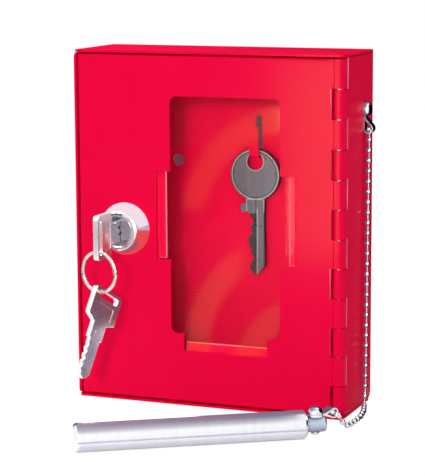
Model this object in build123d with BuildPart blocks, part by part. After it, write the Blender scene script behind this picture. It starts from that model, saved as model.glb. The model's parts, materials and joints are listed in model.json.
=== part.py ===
"""Wall-mounted emergency key box with a glazed, hinged door, a cam lock and a hammer on a ball chain.

Millimetres, +Z up, front towards -Y, +X to the right. The origin is the centre of the case's underside.
"""

import os
from math import cos, degrees, radians, sin, sqrt, tan

from build123d import *

os.makedirs("parts", exist_ok=True)

# Case: folded from one sheet
CASE_W = 120.0
CASE_D = 40.0
CASE_H = 150.0
SHEET = 1.0
BACK_BEND = 1.5  # outside radius of the two rear vertical bends
LIP_R = 2.0  # rounded free corners of the front edges
SEAM = 0.3  # open seam between a side wall and the top or bottom panel
RELIEF_D = 4.0  # corner relief at the foot of the back, front to back
RELIEF_H = 5.0
RELIEF_W = 3.0
FIX_PITCH = 57.6
FIX_DIA = 5.3
FIX_DROP = 50.0  # below the top of the case

# Hook: a tab lanced from the back wall and bent up
HOOK_X = 8.7
HOOK_DROP = 46.1  # upper face of the horizontal root, below the top of the case
HOOK_RISE = 12.3  # tip above the root
HOOK_STAND = 4.5  # clear space between the tab and the back wall
HOOK_ROOT_W = 4.4
HOOK_TIP_W = 3.3
HOOK_BEND = 1.25

# Door: tray folded from one sheet
DOOR_GAP = 0.6
DOOR_DEPTH = 8.0
DOOR_BEND = 1.2
DOOR_NOTCH = 1.7  # open corner between two flanges
WINDOW_W = 49.0
WINDOW_X = 8.2
WINDOW_TOP = 18.5  # window's head below the top of the case
WINDOW_FOOT = 31.1  # window's foot above the bottom of the case
WINDOW_R = 3.0
SIDE_TAB_LEN = 37.5  # glass-holding tabs at the left and right of the window
SIDE_TAB_LOW = 0.1  # their middle below the window's
SIDE_TAB_OUT = 6.4  # how far a side tab's bend stands outside the window
FOOT_TAB_LEN = 37.5
FOOT_TAB_OUT = 7.5
TAB_REACH = 3.5
TAB_BEND = 0.7
GLASS_T = 2.0
GLASS_LAP = 8.5  # pane above the window's head
GLASS_PLAY = 0.3

# Hinge: the free edges of the case's right wall and of the door are rolled round one pin
KNUCKLES = 12
KNUCKLE_R = 2.5
PIN_DIA = 2.8
PIN_PLAY = 0.1
KNUCKLE_GAP = 0.3
LEAF_GAP = 0.5  # from a knuckle to the cut edge of the facing sheet
CREASE_X = 1.8  # crease beside the roll, from the hinge axis

# Cam lock
LOCK_X = -37.0
LOCK_Z = 74.7
COLLAR_DIA = 22.3
COLLAR_FACE_DIA = 16.7
COLLAR_H = 8.0
COLLAR_FOOT = 0.5
BARREL_DIA = 16.0
BARREL_FLATS = 14.0
BARREL_END = 14.0  # barrel length behind the door's face
HEAD_DIA = 13.0
HEAD_DEPTH = 1.7
HEAD_SUNK = 0.25
PLUG_DIA = 12.0
LOCK_PLAY = 0.05
NUT_AF = 20.0
NUT_T = 3.0
TAIL_SQ = 7.0
CAM_T = 1.5
CAM_W = 12.0
CAM_REACH = 18.5
SCREW_DIA = 3.0
SCREW_HEAD_DIA = 8.0
SCREW_HEAD_H = 1.6
WAFERS = 5
WAFER_T = 0.9
WAFER_W = 5.2
WAFER_H = 10.2
WAFER_PITCH = 2.9
WAFER_FIRST = 4.2  # first wafer behind the plug's shoulder
STRIKE_T = 1.2
STRIKE_REACH = 8.0
STRIKE_LEG = 10.0
STRIKE_H = 30.0
CAM_PLAY = 0.5

# Cabinet keys, two alike
KEY_T = 2.3
BOW_W = 18.6
BOW_L = 14.2
BOW_CORNER = 2.0
BOW_CUT_L = 1.9
NECK_W = 8.6
NECK_L = 6.8
BLADE_W = 6.6
BLADE_L = 17.0
BLADE_T = 2.0
SLOT_L = 14.4
SLOT_W = 3.0
SLOT_FROM_END = 2.6
KEYWAY_PLAY = 0.12

# Split ring
RING_DIA = 18.4  # outside
WIRE_DIA = 1.8
RING_TURN = 12.7  # the ring's plane, turned from the door's face
RING_PLAY = 0.3
SPARE_TILT = 30.0

# Key on the hook
HUNG_T = 1.8
HUNG_RIM_T = 2.2
HUNG_BOW_R = 11.3
HUNG_HOLE_DIA = 7.3
HUNG_HOLE_UP = 5.6  # hole centre above the bow's centre
HUNG_NECK_W = 8.8
HUNG_TIP = 44.1  # tip below the bow's centre
HUNG_CLEAR = 0.4  # key's rim from the hook's tab
HUNG_PLAY = 0.02

# Ball chain and its end fittings
RIVET_Y = 7.5
RIVET_DROP = 24.0  # below the top of the case
RIVET_DIA = 2.0
RIVET_HEAD_DIA = 5.8
RIVET_HEAD_H = 1.8
DOME_H = 3.0  # taller head of the rivet on the hammer's stud
RIVET_TAIL_DIA = 3.4
RIVET_TAIL_H = 0.8
EYE_DIA = 6.2
EYE_T = 1.0
CAGE_H = 4.2
CAGE_W = 3.8
STRAP = 0.55
EYE_TO_BEAD = 8.3
BEAD_R = 1.2
BEAD_BORE = 1.3
LINK_DIA = 0.65
PITCH = 4.4
LINK_IN = 0.8  # link end, from the bead's centre
SHARP_BEND = 28.0
HANG_OUT = 2.0  # hanging chain's centre line from the right wall
HANG_DRIFT = 5.3  # how far the chain's foot stands forward of the rivet
TOUCH = 0.02  # air between parts that rest on one another

# Hammer
ROD_DIA = 11.6
ROD_L = 92.8
ROD_IN = 5.1  # rod's end, in from the right wall's outer face
ROD_OUT = 31.6  # rod's end, in front of the door's face
ROD_TURN = 33.2
ROD_ROUND = 2.0
ROD_CHAMFER = 1.0
STUD_DIA = 6.4
STUD_L = 8.3
STUD_ROOT = 0.5  # undercut beside the rod
STUD_RIVET = 4.0  # rivet axis from the rod's end
FITTING_TURN = 54.5  # lower end fitting's direction on the floor

# Planes and axes that follow from the sizes above
FRONT_Y = -CASE_D / 2
BACK_Y = CASE_D / 2
WALL_X = CASE_W / 2
BACK_IN = BACK_Y - SHEET
FIX_Z = CASE_H - FIX_DROP
HOOK_TOP_Z = CASE_H - HOOK_DROP
HOOK_TIP_Z = HOOK_TOP_Z + HOOK_RISE
RIVET_Z = CASE_H - RIVET_DROP
HINGE_X = WALL_X - KNUCKLE_R
HINGE_Y = FRONT_Y + KNUCKLE_R
BORE_R = PIN_DIA / 2 + PIN_PLAY
DOOR_L = -WALL_X + SHEET + DOOR_GAP
DOOR_R = HINGE_X - KNUCKLE_R - LEAF_GAP
DOOR_Z0 = SHEET + DOOR_GAP
DOOR_Z1 = CASE_H - SHEET - DOOR_GAP
KNUCKLE_PITCH = (DOOR_Z1 - DOOR_Z0) / KNUCKLES
KNUCKLE_H = KNUCKLE_PITCH - KNUCKLE_GAP
DOOR_IN = FRONT_Y + SHEET
WINDOW_H = CASE_H - WINDOW_TOP - WINDOW_FOOT
WINDOW_Z = WINDOW_FOOT + WINDOW_H / 2
SIDE_TAB_Z = WINDOW_Z - SIDE_TAB_LOW
GLASS_H = WINDOW_H + FOOT_TAB_OUT + GLASS_LAP
GLASS_Y = DOOR_IN + 0.1
TAB_Y = GLASS_Y + GLASS_T + GLASS_PLAY  # front face of a tab's free leg
LOCK_FACE = FRONT_Y - COLLAR_H
SHOULDER_Y = LOCK_FACE + HEAD_DEPTH
BARREL_Y1 = FRONT_Y + BARREL_END
PLUG_Y1 = BARREL_Y1 + 0.5
CAM_Y1 = PLUG_Y1 + CAM_T
KEY_SHOULDER = LOCK_FACE - 0.2


def facing_front(x: float, y: float, z: float) -> Plane:
    """Sketch plane seen from the front: local x to the right, local y up, extrusions towards -Y."""
    return Plane(origin=(x, y, z), x_dir=(1, 0, 0), z_dir=(0, -1, 0))


def knuckle_planes(first: int) -> list[Plane]:
    """Level planes at the foot of every second knuckle, counted from the bottom."""
    return [
        Plane(origin=(HINGE_X, HINGE_Y, DOOR_Z0 + i * KNUCKLE_PITCH + KNUCKLE_GAP / 2))
        for i in range(first, KNUCKLES, 2)
    ]


def rolled_edge(curl_start: float, curl_end: float) -> None:
    """Sketch of a knuckle: a ring, open between two angles for the sheet that feeds it."""
    Circle(KNUCKLE_R)
    Circle(BORE_R, mode=Mode.SUBTRACT)
    reach = 2 * KNUCKLE_R
    middle = (curl_start + curl_end) / 2
    corners = [
        (reach * cos(radians(a)), reach * sin(radians(a))) for a in (curl_start, middle, curl_end)
    ]
    Polygon((0, 0), *corners, align=None, mode=Mode.SUBTRACT)


# The hook, joined to the case below
with BuildPart() as hook:
    tab_front = BACK_IN - HOOK_STAND - SHEET
    with BuildSketch(Plane.YZ.offset(HOOK_X)) as hook_side:
        with BuildLine():
            Polyline(
                (BACK_IN + SHEET / 2, HOOK_TOP_Z - SHEET),
                (tab_front, HOOK_TOP_Z - SHEET),
                (tab_front, HOOK_TIP_Z),
                (tab_front + SHEET, HOOK_TIP_Z),
                (tab_front + SHEET, HOOK_TOP_Z),
                (BACK_IN + SHEET / 2, HOOK_TOP_Z),
                close=True,
            )
        make_face()
        fillet(hook_side.vertices().sort_by_distance((HOOK_X, tab_front, HOOK_TOP_Z - SHEET))[0], HOOK_BEND)
        fillet(hook_side.vertices().sort_by_distance((HOOK_X, tab_front + SHEET, HOOK_TOP_Z))[0], HOOK_BEND - SHEET)
    extrude(amount=HOOK_ROOT_W / 2, both=True)
    with BuildSketch(facing_front(HOOK_X, tab_front + 2 * SHEET, HOOK_TOP_Z)):
        for side in (-1, 1):
            with BuildLine():
                Polyline(
                    (side * HOOK_ROOT_W / 2, SHEET),
                    (side * HOOK_ROOT_W, SHEET),
                    (side * HOOK_ROOT_W, HOOK_TIP_Z),
                    (side * HOOK_TIP_W / 2, HOOK_TIP_Z - HOOK_TOP_Z + 0.2),
                    close=True,
                )
            make_face()
    extrude(amount=4 * SHEET, mode=Mode.SUBTRACT)
    tip_edges = hook.faces().sort_by(Axis.Z)[-1].edges().filter_by(Axis.Y)
    fillet(tip_edges, HOOK_TIP_W / 4)

with BuildPart() as case:
    with BuildSketch() as plan:
        Rectangle(CASE_W, CASE_D)
        fillet(plan.vertices().group_by(Axis.Y)[-1], BACK_BEND)
        fillet(plan.vertices().group_by(Axis.Y)[0], LIP_R)
    extrude(amount=CASE_H)
    with BuildSketch(Plane.XY.offset(SHEET)) as hollow:
        with Locations((0, FRONT_Y - SHEET)):
            Rectangle(CASE_W - 2 * SHEET, CASE_D, align=(Align.CENTER, Align.MIN))
        fillet(hollow.vertices().group_by(Axis.Y)[-1], BACK_BEND - SHEET)
    extrude(amount=CASE_H - 2 * SHEET, mode=Mode.SUBTRACT)
    # the side walls' own front edges stay square below the rounded corners of the top and bottom panels
    wall_h = CASE_H - 2 * (SHEET + SEAM)
    with Locations((-WALL_X + SHEET / 2, FRONT_Y + LIP_R, CASE_H / 2)):
        Box(SHEET, 2 * LIP_R, wall_h)
    # open seams at the head and foot of both side walls
    for z in (SHEET + SEAM / 2, CASE_H - SHEET - SEAM / 2):
        with Locations(*[(side * WALL_X, FRONT_Y, z) for side in (-1, 1)]):
            Box(3 * SHEET, 2 * (CASE_D - BACK_BEND), SEAM, mode=Mode.SUBTRACT)
    left_front = case.edges().filter_by(Axis.X).filter_by_position(Axis.Y, FRONT_Y - 0.01, FRONT_Y + 0.01)
    left_front = left_front.filter_by(lambda e: e.center().X < 0 and e.length < 2 * SHEET)
    fillet(left_front, LIP_R)
    # the right wall is cut back clear of the door's knuckles, with a tongue to each of its own
    with Locations((WALL_X, FRONT_Y, CASE_H / 2)):
        Box(
            3 * SHEET,
            2 * (HINGE_Y + KNUCKLE_R + 0.3 - FRONT_Y),
            CASE_H - 2 * SHEET,
            mode=Mode.SUBTRACT,
        )
    with BuildSketch(*knuckle_planes(0)):
        rolled_edge(0, 62)
        with Locations((BORE_R, 0)):
            Rectangle(SHEET, KNUCKLE_R + SHEET, align=Align.MIN)
    extrude(amount=KNUCKLE_H)
    # corner reliefs at the foot of the back
    with BuildSketch(Plane.YZ.offset(-WALL_X)):
        with BuildLine():
            Polyline(
                (BACK_Y - RELIEF_D, -0.1), (BACK_Y + 0.1, -0.1), (BACK_Y + 0.1, RELIEF_H), close=True
            )
        make_face()
    extrude(amount=RELIEF_W, mode=Mode.SUBTRACT)
    with BuildSketch(Plane.YZ.offset(WALL_X - RELIEF_W)):
        with BuildLine():
            Polyline(
                (BACK_Y - RELIEF_D, -0.1), (BACK_Y + 0.1, -0.1), (BACK_Y + 0.1, RELIEF_H), close=True
            )
        make_face()
    extrude(amount=RELIEF_W, mode=Mode.SUBTRACT)
    # wall fixing holes and the window the hook was lanced from
    with BuildSketch(facing_front(0, BACK_Y, 0)):
        with Locations((-FIX_PITCH / 2, FIX_Z), (FIX_PITCH / 2, FIX_Z)):
            Circle(FIX_DIA / 2)
        lance_h = HOOK_TIP_Z - HOOK_TOP_Z + HOOK_STAND
        with BuildLine():
            Polyline(
                (HOOK_X - HOOK_ROOT_W / 2 - 0.3, HOOK_TOP_Z),
                (HOOK_X + HOOK_ROOT_W / 2 + 0.1, HOOK_TOP_Z),
                (HOOK_X + HOOK_TIP_W / 2 + 0.1, HOOK_TOP_Z + lance_h),
                (HOOK_X - HOOK_TIP_W / 4, HOOK_TOP_Z + lance_h),
                close=True,
            )
        make_face()
    extrude(amount=2 * SHEET, mode=Mode.SUBTRACT)
    add(hook.part)
    # chain rivet's hole
    with BuildSketch(Plane.YZ.offset(WALL_X - 2 * SHEET)):
        with Locations((RIVET_Y, RIVET_Z)):
            Circle(RIVET_DIA / 2 + LOCK_PLAY)
    extrude(amount=3 * SHEET, mode=Mode.SUBTRACT)
case.part.label = "case"

with BuildPart() as strike_plate:
    lip_y = PLUG_Y1 - CAM_PLAY - STRIKE_T
    with BuildSketch(Plane(origin=(-WALL_X + SHEET, lip_y, LOCK_Z - STRIKE_H / 2))) as angle:
        Rectangle(STRIKE_REACH, STRIKE_T, align=Align.MIN)
        Rectangle(STRIKE_T, STRIKE_LEG, align=Align.MIN)
        level = angle.vertices()[0].Z
        inner = (-WALL_X + SHEET + STRIKE_T, lip_y + STRIKE_T, level)
        outer = (-WALL_X + SHEET, lip_y, level)
        fillet(angle.vertices().sort_by_distance(inner)[0], STRIKE_T / 4)
        fillet(angle.vertices().sort_by_distance(outer)[0], STRIKE_T)
    extrude(amount=STRIKE_H)
    fillet(strike_plate.faces().sort_by(Axis.X)[-1].edges().filter_by(Axis.Y), LIP_R)
    fillet(strike_plate.faces().sort_by(Axis.Y)[-1].edges().filter_by(Axis.X), LIP_R)
    # two weld pits in the leg
    with BuildSketch(Plane.YZ.offset(-WALL_X + SHEET + STRIKE_T)):
        with Locations(*[(lip_y + 0.6 * STRIKE_LEG, LOCK_Z + side * STRIKE_H / 3) for side in (-1, 1)]):
            Circle(STRIKE_LEG / 5)
    extrude(amount=-STRIKE_T / 4, mode=Mode.SUBTRACT)
strike_plate.part.label = "strike_plate"

with BuildPart() as hinge_pin:
    with BuildSketch(Plane(origin=(HINGE_X, HINGE_Y, DOOR_Z0 + KNUCKLE_GAP / 2))):
        Circle(PIN_DIA / 2)
    extrude(amount=DOOR_Z1 - DOOR_Z0 - KNUCKLE_GAP)
    chamfer(hinge_pin.edges().filter_by(GeomType.CIRCLE), PIN_PLAY * 3)
hinge_pin.part.label = "hinge_pin"

with BuildPart() as door_panel:
    door_w = DOOR_R - DOOR_L
    door_h = DOOR_Z1 - DOOR_Z0
    with BuildSketch(facing_front(DOOR_L, FRONT_Y, DOOR_Z0)):
        Rectangle(door_w, door_h, align=Align.MIN)
    extrude(amount=-DOOR_DEPTH)
    face_edges = door_panel.faces().sort_by(Axis.Y)[0].edges()
    fillet(face_edges.sort_by(Axis.X)[:-1], DOOR_BEND)
    with BuildSketch(facing_front(DOOR_L + SHEET, DOOR_IN, DOOR_Z0 + SHEET)):
        Rectangle(door_w, door_h - 2 * SHEET, align=Align.MIN)
    extrude(amount=-DOOR_DEPTH, mode=Mode.SUBTRACT)
    for z in (DOOR_Z0, DOOR_Z1):
        with Locations((DOOR_L, DOOR_IN + SHEET + DOOR_DEPTH / 2, z)):
            Box(2 * DOOR_NOTCH, DOOR_DEPTH, 2 * DOOR_NOTCH, mode=Mode.SUBTRACT)
    # knuckles and the sheet that feeds them
    with BuildSketch(*knuckle_planes(1)):
        rolled_edge(208, 270)
        with Locations((0, -KNUCKLE_R)):
            Rectangle(HINGE_X - DOOR_R + SHEET, SHEET, align=(Align.MAX, Align.MIN))
        with BuildLine():
            Polyline(
                (-CREASE_X - 0.25, -KNUCKLE_R),
                (-CREASE_X + 0.25, -KNUCKLE_R),
                (-CREASE_X, 0.3 - KNUCKLE_R),
                close=True,
            )
        make_face(mode=Mode.SUBTRACT)
    extrude(amount=KNUCKLE_H)
    # window with the notches its tabs were folded from
    win_l, win_r = WINDOW_X - WINDOW_W / 2, WINDOW_X + WINDOW_W / 2
    win_foot = WINDOW_Z - WINDOW_H / 2
    with BuildSketch(facing_front(WINDOW_X, FRONT_Y - SHEET, 0)):
        with Locations((0, WINDOW_Z)):
            RectangleRounded(WINDOW_W, WINDOW_H, WINDOW_R)
        with Locations((0, SIDE_TAB_Z)):
            Rectangle(WINDOW_W + 2 * SIDE_TAB_OUT, SIDE_TAB_LEN)
        with Locations((0, win_foot - FOOT_TAB_OUT)):
            Rectangle(FOOT_TAB_LEN, FOOT_TAB_OUT + WINDOW_R, align=(Align.CENTER, Align.MIN))
    extrude(amount=-3 * SHEET, mode=Mode.SUBTRACT)
    # side tabs: a leg back from the bend, then a leg behind the glass
    tab_edge = WINDOW_W / 2 + SIDE_TAB_OUT
    with BuildSketch(Plane(origin=(WINDOW_X, DOOR_IN, SIDE_TAB_Z - SIDE_TAB_LEN / 2))):
        for side in (-1, 1):
            with BuildLine():
                Polyline(
                    (side * tab_edge, -SHEET / 2),
                    (side * tab_edge, TAB_Y - DOOR_IN),
                    (side * (tab_edge - TAB_REACH), TAB_Y - DOOR_IN),
                    (side * (tab_edge - TAB_REACH), TAB_Y - DOOR_IN + SHEET),
                    (side * (tab_edge + SHEET), TAB_Y - DOOR_IN + SHEET),
                    (side * (tab_edge + SHEET), -SHEET / 2),
                    close=True,
                )
            make_face()
    extrude(amount=SIDE_TAB_LEN)
    # foot tab, the ledge the glass stands on
    ledge_z = win_foot - FOOT_TAB_OUT
    with BuildSketch(Plane.YZ.offset(WINDOW_X - FOOT_TAB_LEN / 2)):
        with BuildLine():
            Polyline(
                (DOOR_IN - SHEET / 2, ledge_z),
                (TAB_Y, ledge_z),
                (TAB_Y, ledge_z + TAB_REACH),
                (TAB_Y + SHEET, ledge_z + TAB_REACH),
                (TAB_Y + SHEET, ledge_z - SHEET),
                (DOOR_IN - SHEET / 2, ledge_z - SHEET),
                close=True,
            )
        make_face()
    extrude(amount=FOOT_TAB_LEN)
    # outside bends of the tabs, behind the glass and at the face
    tab_backs = door_panel.edges().filter_by_position(Axis.Y, TAB_Y + SHEET - 0.01, TAB_Y + SHEET + 0.01)
    corners = tab_backs.filter_by(Axis.Z).filter_by(lambda e: abs(e.center().X - WINDOW_X) > tab_edge)
    corners += tab_backs.filter_by(Axis.X).filter_by(lambda e: e.center().Z < ledge_z)
    fillet(corners, DOOR_BEND)
    at_face = door_panel.edges().filter_by_position(Axis.Y, FRONT_Y - 0.01, FRONT_Y + 0.01)
    lips = at_face.filter_by(Axis.Z).filter_by(lambda e: abs(abs(e.center().X - WINDOW_X) - tab_edge) < 0.01)
    lips += at_face.filter_by(Axis.X).filter_by(lambda e: abs(e.center().Z - ledge_z) < 0.01)
    fillet(lips, TAB_BEND)
    # hole for the lock's barrel, with two flats
    with BuildSketch(facing_front(LOCK_X, FRONT_Y - SHEET, LOCK_Z)):
        Circle(BARREL_DIA / 2 + 4 * LOCK_PLAY)
        Rectangle(BARREL_FLATS + 8 * LOCK_PLAY, 2 * BARREL_DIA, mode=Mode.INTERSECT)
    extrude(amount=-3 * SHEET, mode=Mode.SUBTRACT)
door_panel.part.label = "door_panel"

with BuildPart() as glass_pane:
    pane_w = 2 * (tab_edge - GLASS_PLAY)
    with BuildSketch(facing_front(WINDOW_X, GLASS_Y, ledge_z + TOUCH)):
        Rectangle(pane_w, GLASS_H, align=(Align.CENTER, Align.MIN))
    extrude(amount=-GLASS_T)
    chamfer(glass_pane.edges().filter_by(Axis.Y), GLASS_T / 4)
glass_pane.part.label = "glass_pane"

with BuildPart() as lock_housing:
    seat_y = -COLLAR_H
    with BuildSketch(Plane.XY.offset(LOCK_Z)):
        with BuildLine():
            Polyline(
                (LOCK_X + PLUG_DIA / 2 + LOCK_PLAY, BARREL_Y1),
                (LOCK_X + PLUG_DIA / 2 + LOCK_PLAY, SHOULDER_Y),
                (LOCK_X + HEAD_DIA / 2 + LOCK_PLAY, SHOULDER_Y),
                (LOCK_X + HEAD_DIA / 2 + LOCK_PLAY, LOCK_FACE + 0.3),
                (LOCK_X + HEAD_DIA / 2 + LOCK_PLAY + 0.3, LOCK_FACE),
                (LOCK_X + COLLAR_FACE_DIA / 2 - 0.5, LOCK_FACE),
                (LOCK_X + COLLAR_FACE_DIA / 2, LOCK_FACE + 0.5),
                (LOCK_X + COLLAR_DIA / 2, FRONT_Y - COLLAR_FOOT),
                (LOCK_X + COLLAR_DIA / 2, FRONT_Y),
                (LOCK_X + BARREL_DIA / 2, FRONT_Y),
                (LOCK_X + BARREL_DIA / 2, BARREL_Y1),
                close=True,
            )
        make_face()
    revolve(axis=Axis((LOCK_X, 0, LOCK_Z), (0, 1, 0)))
    # flats on the barrel, behind the door's face
    with BuildSketch(facing_front(LOCK_X, FRONT_Y, LOCK_Z)):
        with Locations((BARREL_FLATS / 2, 0)):
            Rectangle(BARREL_DIA, 2 * BARREL_DIA, align=(Align.MIN, Align.CENTER))
        with Locations((-BARREL_FLATS / 2, 0)):
            Rectangle(BARREL_DIA, 2 * BARREL_DIA, align=(Align.MAX, Align.CENTER))
    extrude(amount=-BARREL_END, mode=Mode.SUBTRACT)
lock_housing.part.label = "lock_housing"

with BuildPart() as lock_nut:
    with BuildSketch(facing_front(LOCK_X, DOOR_IN + TOUCH, LOCK_Z)):
        RegularPolygon(NUT_AF / 2, 6, major_radius=False)
        Circle(BARREL_DIA / 2 + LOCK_PLAY, mode=Mode.SUBTRACT)
    extrude(amount=-NUT_T)
    # corners turned off on the outer face
    with BuildSketch(Plane.XY.offset(LOCK_Z)):
        with BuildLine():
            Polyline(
                (LOCK_X + NUT_AF / 2, DOOR_IN + NUT_T + 0.1),
                (LOCK_X + NUT_AF * 0.7, DOOR_IN + NUT_T + 0.1),
                (LOCK_X + NUT_AF * 0.7, DOOR_IN + NUT_T - 0.3 - NUT_AF * 0.2 * tan(radians(30))),
                (LOCK_X + NUT_AF / 2, DOOR_IN + NUT_T - 0.3),
                close=True,
            )
        make_face()
    revolve(axis=Axis((LOCK_X, 0, LOCK_Z), (0, 1, 0)), mode=Mode.SUBTRACT)
lock_nut.part.label = "lock_nut"

with BuildPart() as lock_plug:
    with BuildSketch(facing_front(LOCK_X, LOCK_FACE + HEAD_SUNK, LOCK_Z)):
        Circle(HEAD_DIA / 2)
    extrude(amount=-(HEAD_DEPTH - HEAD_SUNK - LOCK_PLAY))
    chamfer(lock_plug.faces().sort_by(Axis.Y)[0].edges(), 0.3)
    with BuildSketch(facing_front(LOCK_X, SHOULDER_Y - LOCK_PLAY, LOCK_Z)):
        Circle(PLUG_DIA / 2)
    extrude(amount=-(PLUG_Y1 - SHOULDER_Y + LOCK_PLAY))
    with BuildSketch(facing_front(LOCK_X, PLUG_Y1, LOCK_Z)):
        Rectangle(TAIL_SQ, TAIL_SQ)
    extrude(amount=-(CAM_T - LOCK_PLAY * 2))
    # keyway, wafer slots and the screw's hole
    keyway_l = BLADE_L + 1.0 + (LOCK_FACE - KEY_SHOULDER)
    with BuildSketch(facing_front(LOCK_X, LOCK_FACE, LOCK_Z)):
        Rectangle(BLADE_T + 2 * KEYWAY_PLAY, BLADE_W + 2 * KEYWAY_PLAY)
    extrude(amount=-keyway_l, mode=Mode.SUBTRACT)
    wafer_ys = [SHOULDER_Y + WAFER_FIRST + i * WAFER_PITCH for i in range(WAFERS)]
    with Locations(*[(LOCK_X, y, LOCK_Z) for y in wafer_ys]):
        Box(WAFER_W + 2 * LOCK_PLAY, WAFER_T + 2 * LOCK_PLAY, 2 * PLUG_DIA, mode=Mode.SUBTRACT)
    with BuildSketch(facing_front(LOCK_X, CAM_Y1, LOCK_Z)):
        Circle(SCREW_DIA / 2 + LOCK_PLAY)
    extrude(amount=4 * CAM_T, mode=Mode.SUBTRACT)
lock_plug.part.label = "lock_plug"

with BuildPart() as tumbler_wafers:
    wafer_backs = [
        facing_front(LOCK_X, y + WAFER_T / 2, LOCK_Z + 0.2 * (-1) ** i) for i, y in enumerate(wafer_ys)
    ]
    with BuildSketch(*wafer_backs):
        RectangleRounded(WAFER_W, WAFER_H, WAFER_T)
        Rectangle(BLADE_T + 2 * KEYWAY_PLAY, BLADE_W + 1.6, mode=Mode.SUBTRACT)
    extrude(amount=WAFER_T)
tumbler_wafers.part.label = "tumbler_wafers"

with BuildPart() as cam:
    with BuildSketch(facing_front(LOCK_X, PLUG_Y1, LOCK_Z)) as cam_face:
        Circle(CAM_W / 2 + 1)
        with Locations((0, -CAM_REACH)):
            Rectangle(CAM_W, CAM_REACH, align=(Align.CENTER, Align.MIN))
        fillet(cam_face.vertices().group_by(Axis.Z)[0], CAM_W / 4)
        Rectangle(TAIL_SQ + 2 * LOCK_PLAY, TAIL_SQ + 2 * LOCK_PLAY, mode=Mode.SUBTRACT)
    extrude(amount=-CAM_T)
cam.part.label = "cam"

with BuildPart() as cam_screw:
    with BuildSketch(facing_front(LOCK_X, CAM_Y1 + SCREW_HEAD_H + TOUCH, LOCK_Z)):
        Circle(SCREW_HEAD_DIA / 2)
    extrude(amount=SCREW_HEAD_H)
    fillet(cam_screw.faces().sort_by(Axis.Y)[-1].edges(), SCREW_HEAD_H / 2)
    with BuildSketch(facing_front(LOCK_X, CAM_Y1 + SCREW_HEAD_H / 2, LOCK_Z)):
        Circle(SCREW_DIA / 2)
    extrude(amount=3 * CAM_T)
    with BuildSketch(facing_front(LOCK_X, CAM_Y1 + SCREW_HEAD_H + 2 * TOUCH, LOCK_Z)):
        Rectangle(SCREW_DIA * 1.4, SCREW_DIA / 4)
        Rectangle(SCREW_DIA / 4, SCREW_DIA * 1.4)
    extrude(amount=SCREW_HEAD_H / 2, mode=Mode.SUBTRACT)
cam_screw.part.label = "cam_screw"


def cabinet_key(face: Plane) -> Part:
    """A flat cabinet key.

    Local y runs along the key from the bow's end, local z is its thickness, and the origin is mid-thickness.
    """
    with BuildPart() as key:
        half_bow, half_neck, half_blade = BOW_W / 2, NECK_W / 2, BLADE_W / 2
        with BuildSketch(Plane.XY) as outline:
            with BuildLine():
                Polyline(
                    (-half_bow, 0),
                    (half_bow, 0),
                    (half_bow, BOW_L - BOW_CUT_L),
                    (half_neck, BOW_L),
                    (half_neck, BOW_L + NECK_L),
                    (-half_neck, BOW_L + NECK_L),
                    (-half_neck, BOW_L),
                    (-half_bow, BOW_L - BOW_CUT_L),
                    close=True,
                )
            make_face()
            fillet(outline.vertices().group_by(Axis.Y)[0], BOW_CORNER)
            with Locations((0, SLOT_FROM_END)):
                SlotOverall(SLOT_L, SLOT_W, mode=Mode.SUBTRACT)
        extrude(amount=KEY_T / 2, both=True)
        # blade with a bevelled tip and shallow cuts along one edge
        tip = BOW_L + NECK_L + BLADE_L
        with BuildSketch(Plane.XY):
            with BuildLine():
                Polyline(
                    (-half_blade, BOW_L + NECK_L - 1),
                    (half_blade, BOW_L + NECK_L - 1),
                    (half_blade, tip - 2.2),
                    (0.6, tip),
                    (-0.6, tip),
                    (-half_blade, tip - 2.2),
                    close=True,
                )
            make_face()
            for i in range(WAFERS):
                y = BOW_L + NECK_L + 3.4 + i * WAFER_PITCH
                cut = 0.45 + 0.15 * (i % 3)
                with BuildLine():
                    Polyline((-half_blade, y - 0.9), (-half_blade + cut, y - 0.35), (-half_blade + cut, y + 0.35),
                             (-half_blade, y + 0.9), (-half_blade - 1, y), close=True)
                make_face(mode=Mode.SUBTRACT)
        extrude(amount=BLADE_T / 2, both=True)
        # shallow panel on both faces of the bow, long grooves down both faces of the blade
        for side in (-1, 1):
            with BuildSketch(Plane.XY.offset(side * KEY_T / 2)):
                with Locations((0, (SLOT_FROM_END + SLOT_W / 2 + BOW_L) / 2)):
                    RectangleRounded(BOW_W * 0.62, BOW_L * 0.42, 0.8)
            extrude(amount=-side * 0.25, mode=Mode.SUBTRACT)
            with BuildSketch(Plane.XY.offset(side * KEY_T / 2)):
                for x in (-0.26 * BLADE_W, 0.14 * BLADE_W):
                    groove_start = BOW_L + NECK_L * (0.42 if x < 0 else 0.72)
                    with BuildLine():
                        Polyline((x, groove_start), (x + 0.5, groove_start + 1.6), (x + 0.5, tip + 1),
                                 (x - 0.5, tip + 1), (x - 0.5, groove_start + 1.6), close=True)
                    make_face()
            extrude(amount=-side * (0.45 + (KEY_T - BLADE_T) / 2), mode=Mode.SUBTRACT)
    return face * key.part


# Key in the lock: bow upright in the plane of the lock's axis, blade in the plug
lock_key_end = KEY_SHOULDER - BOW_L - NECK_L
lock_key_plane = Plane(origin=(LOCK_X, lock_key_end, LOCK_Z), x_dir=(0, 0, -1), z_dir=(1, 0, 0))
lock_key_part = cabinet_key(lock_key_plane)
with BuildPart() as lock_key:
    add(lock_key_part)
lock_key.part.label = "lock_key"

# The ring hangs from the lock key's slot, and the spare key from the ring
ring_along = Vector(cos(radians(RING_TURN)), -sin(radians(RING_TURN)), 0)
ring_out = Vector(-sin(radians(RING_TURN)), -cos(radians(RING_TURN)), 0)
loop_r = (RING_DIA - WIRE_DIA) / 2
ring_top = Vector(LOCK_X, lock_key_end + SLOT_FROM_END, LOCK_Z - SLOT_L / 2 + WIRE_DIA / 2 + RING_PLAY)
ring_centre = ring_top - Vector(0, 0, loop_r)
ring_foot = ring_centre - Vector(0, 0, loop_r)

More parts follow.
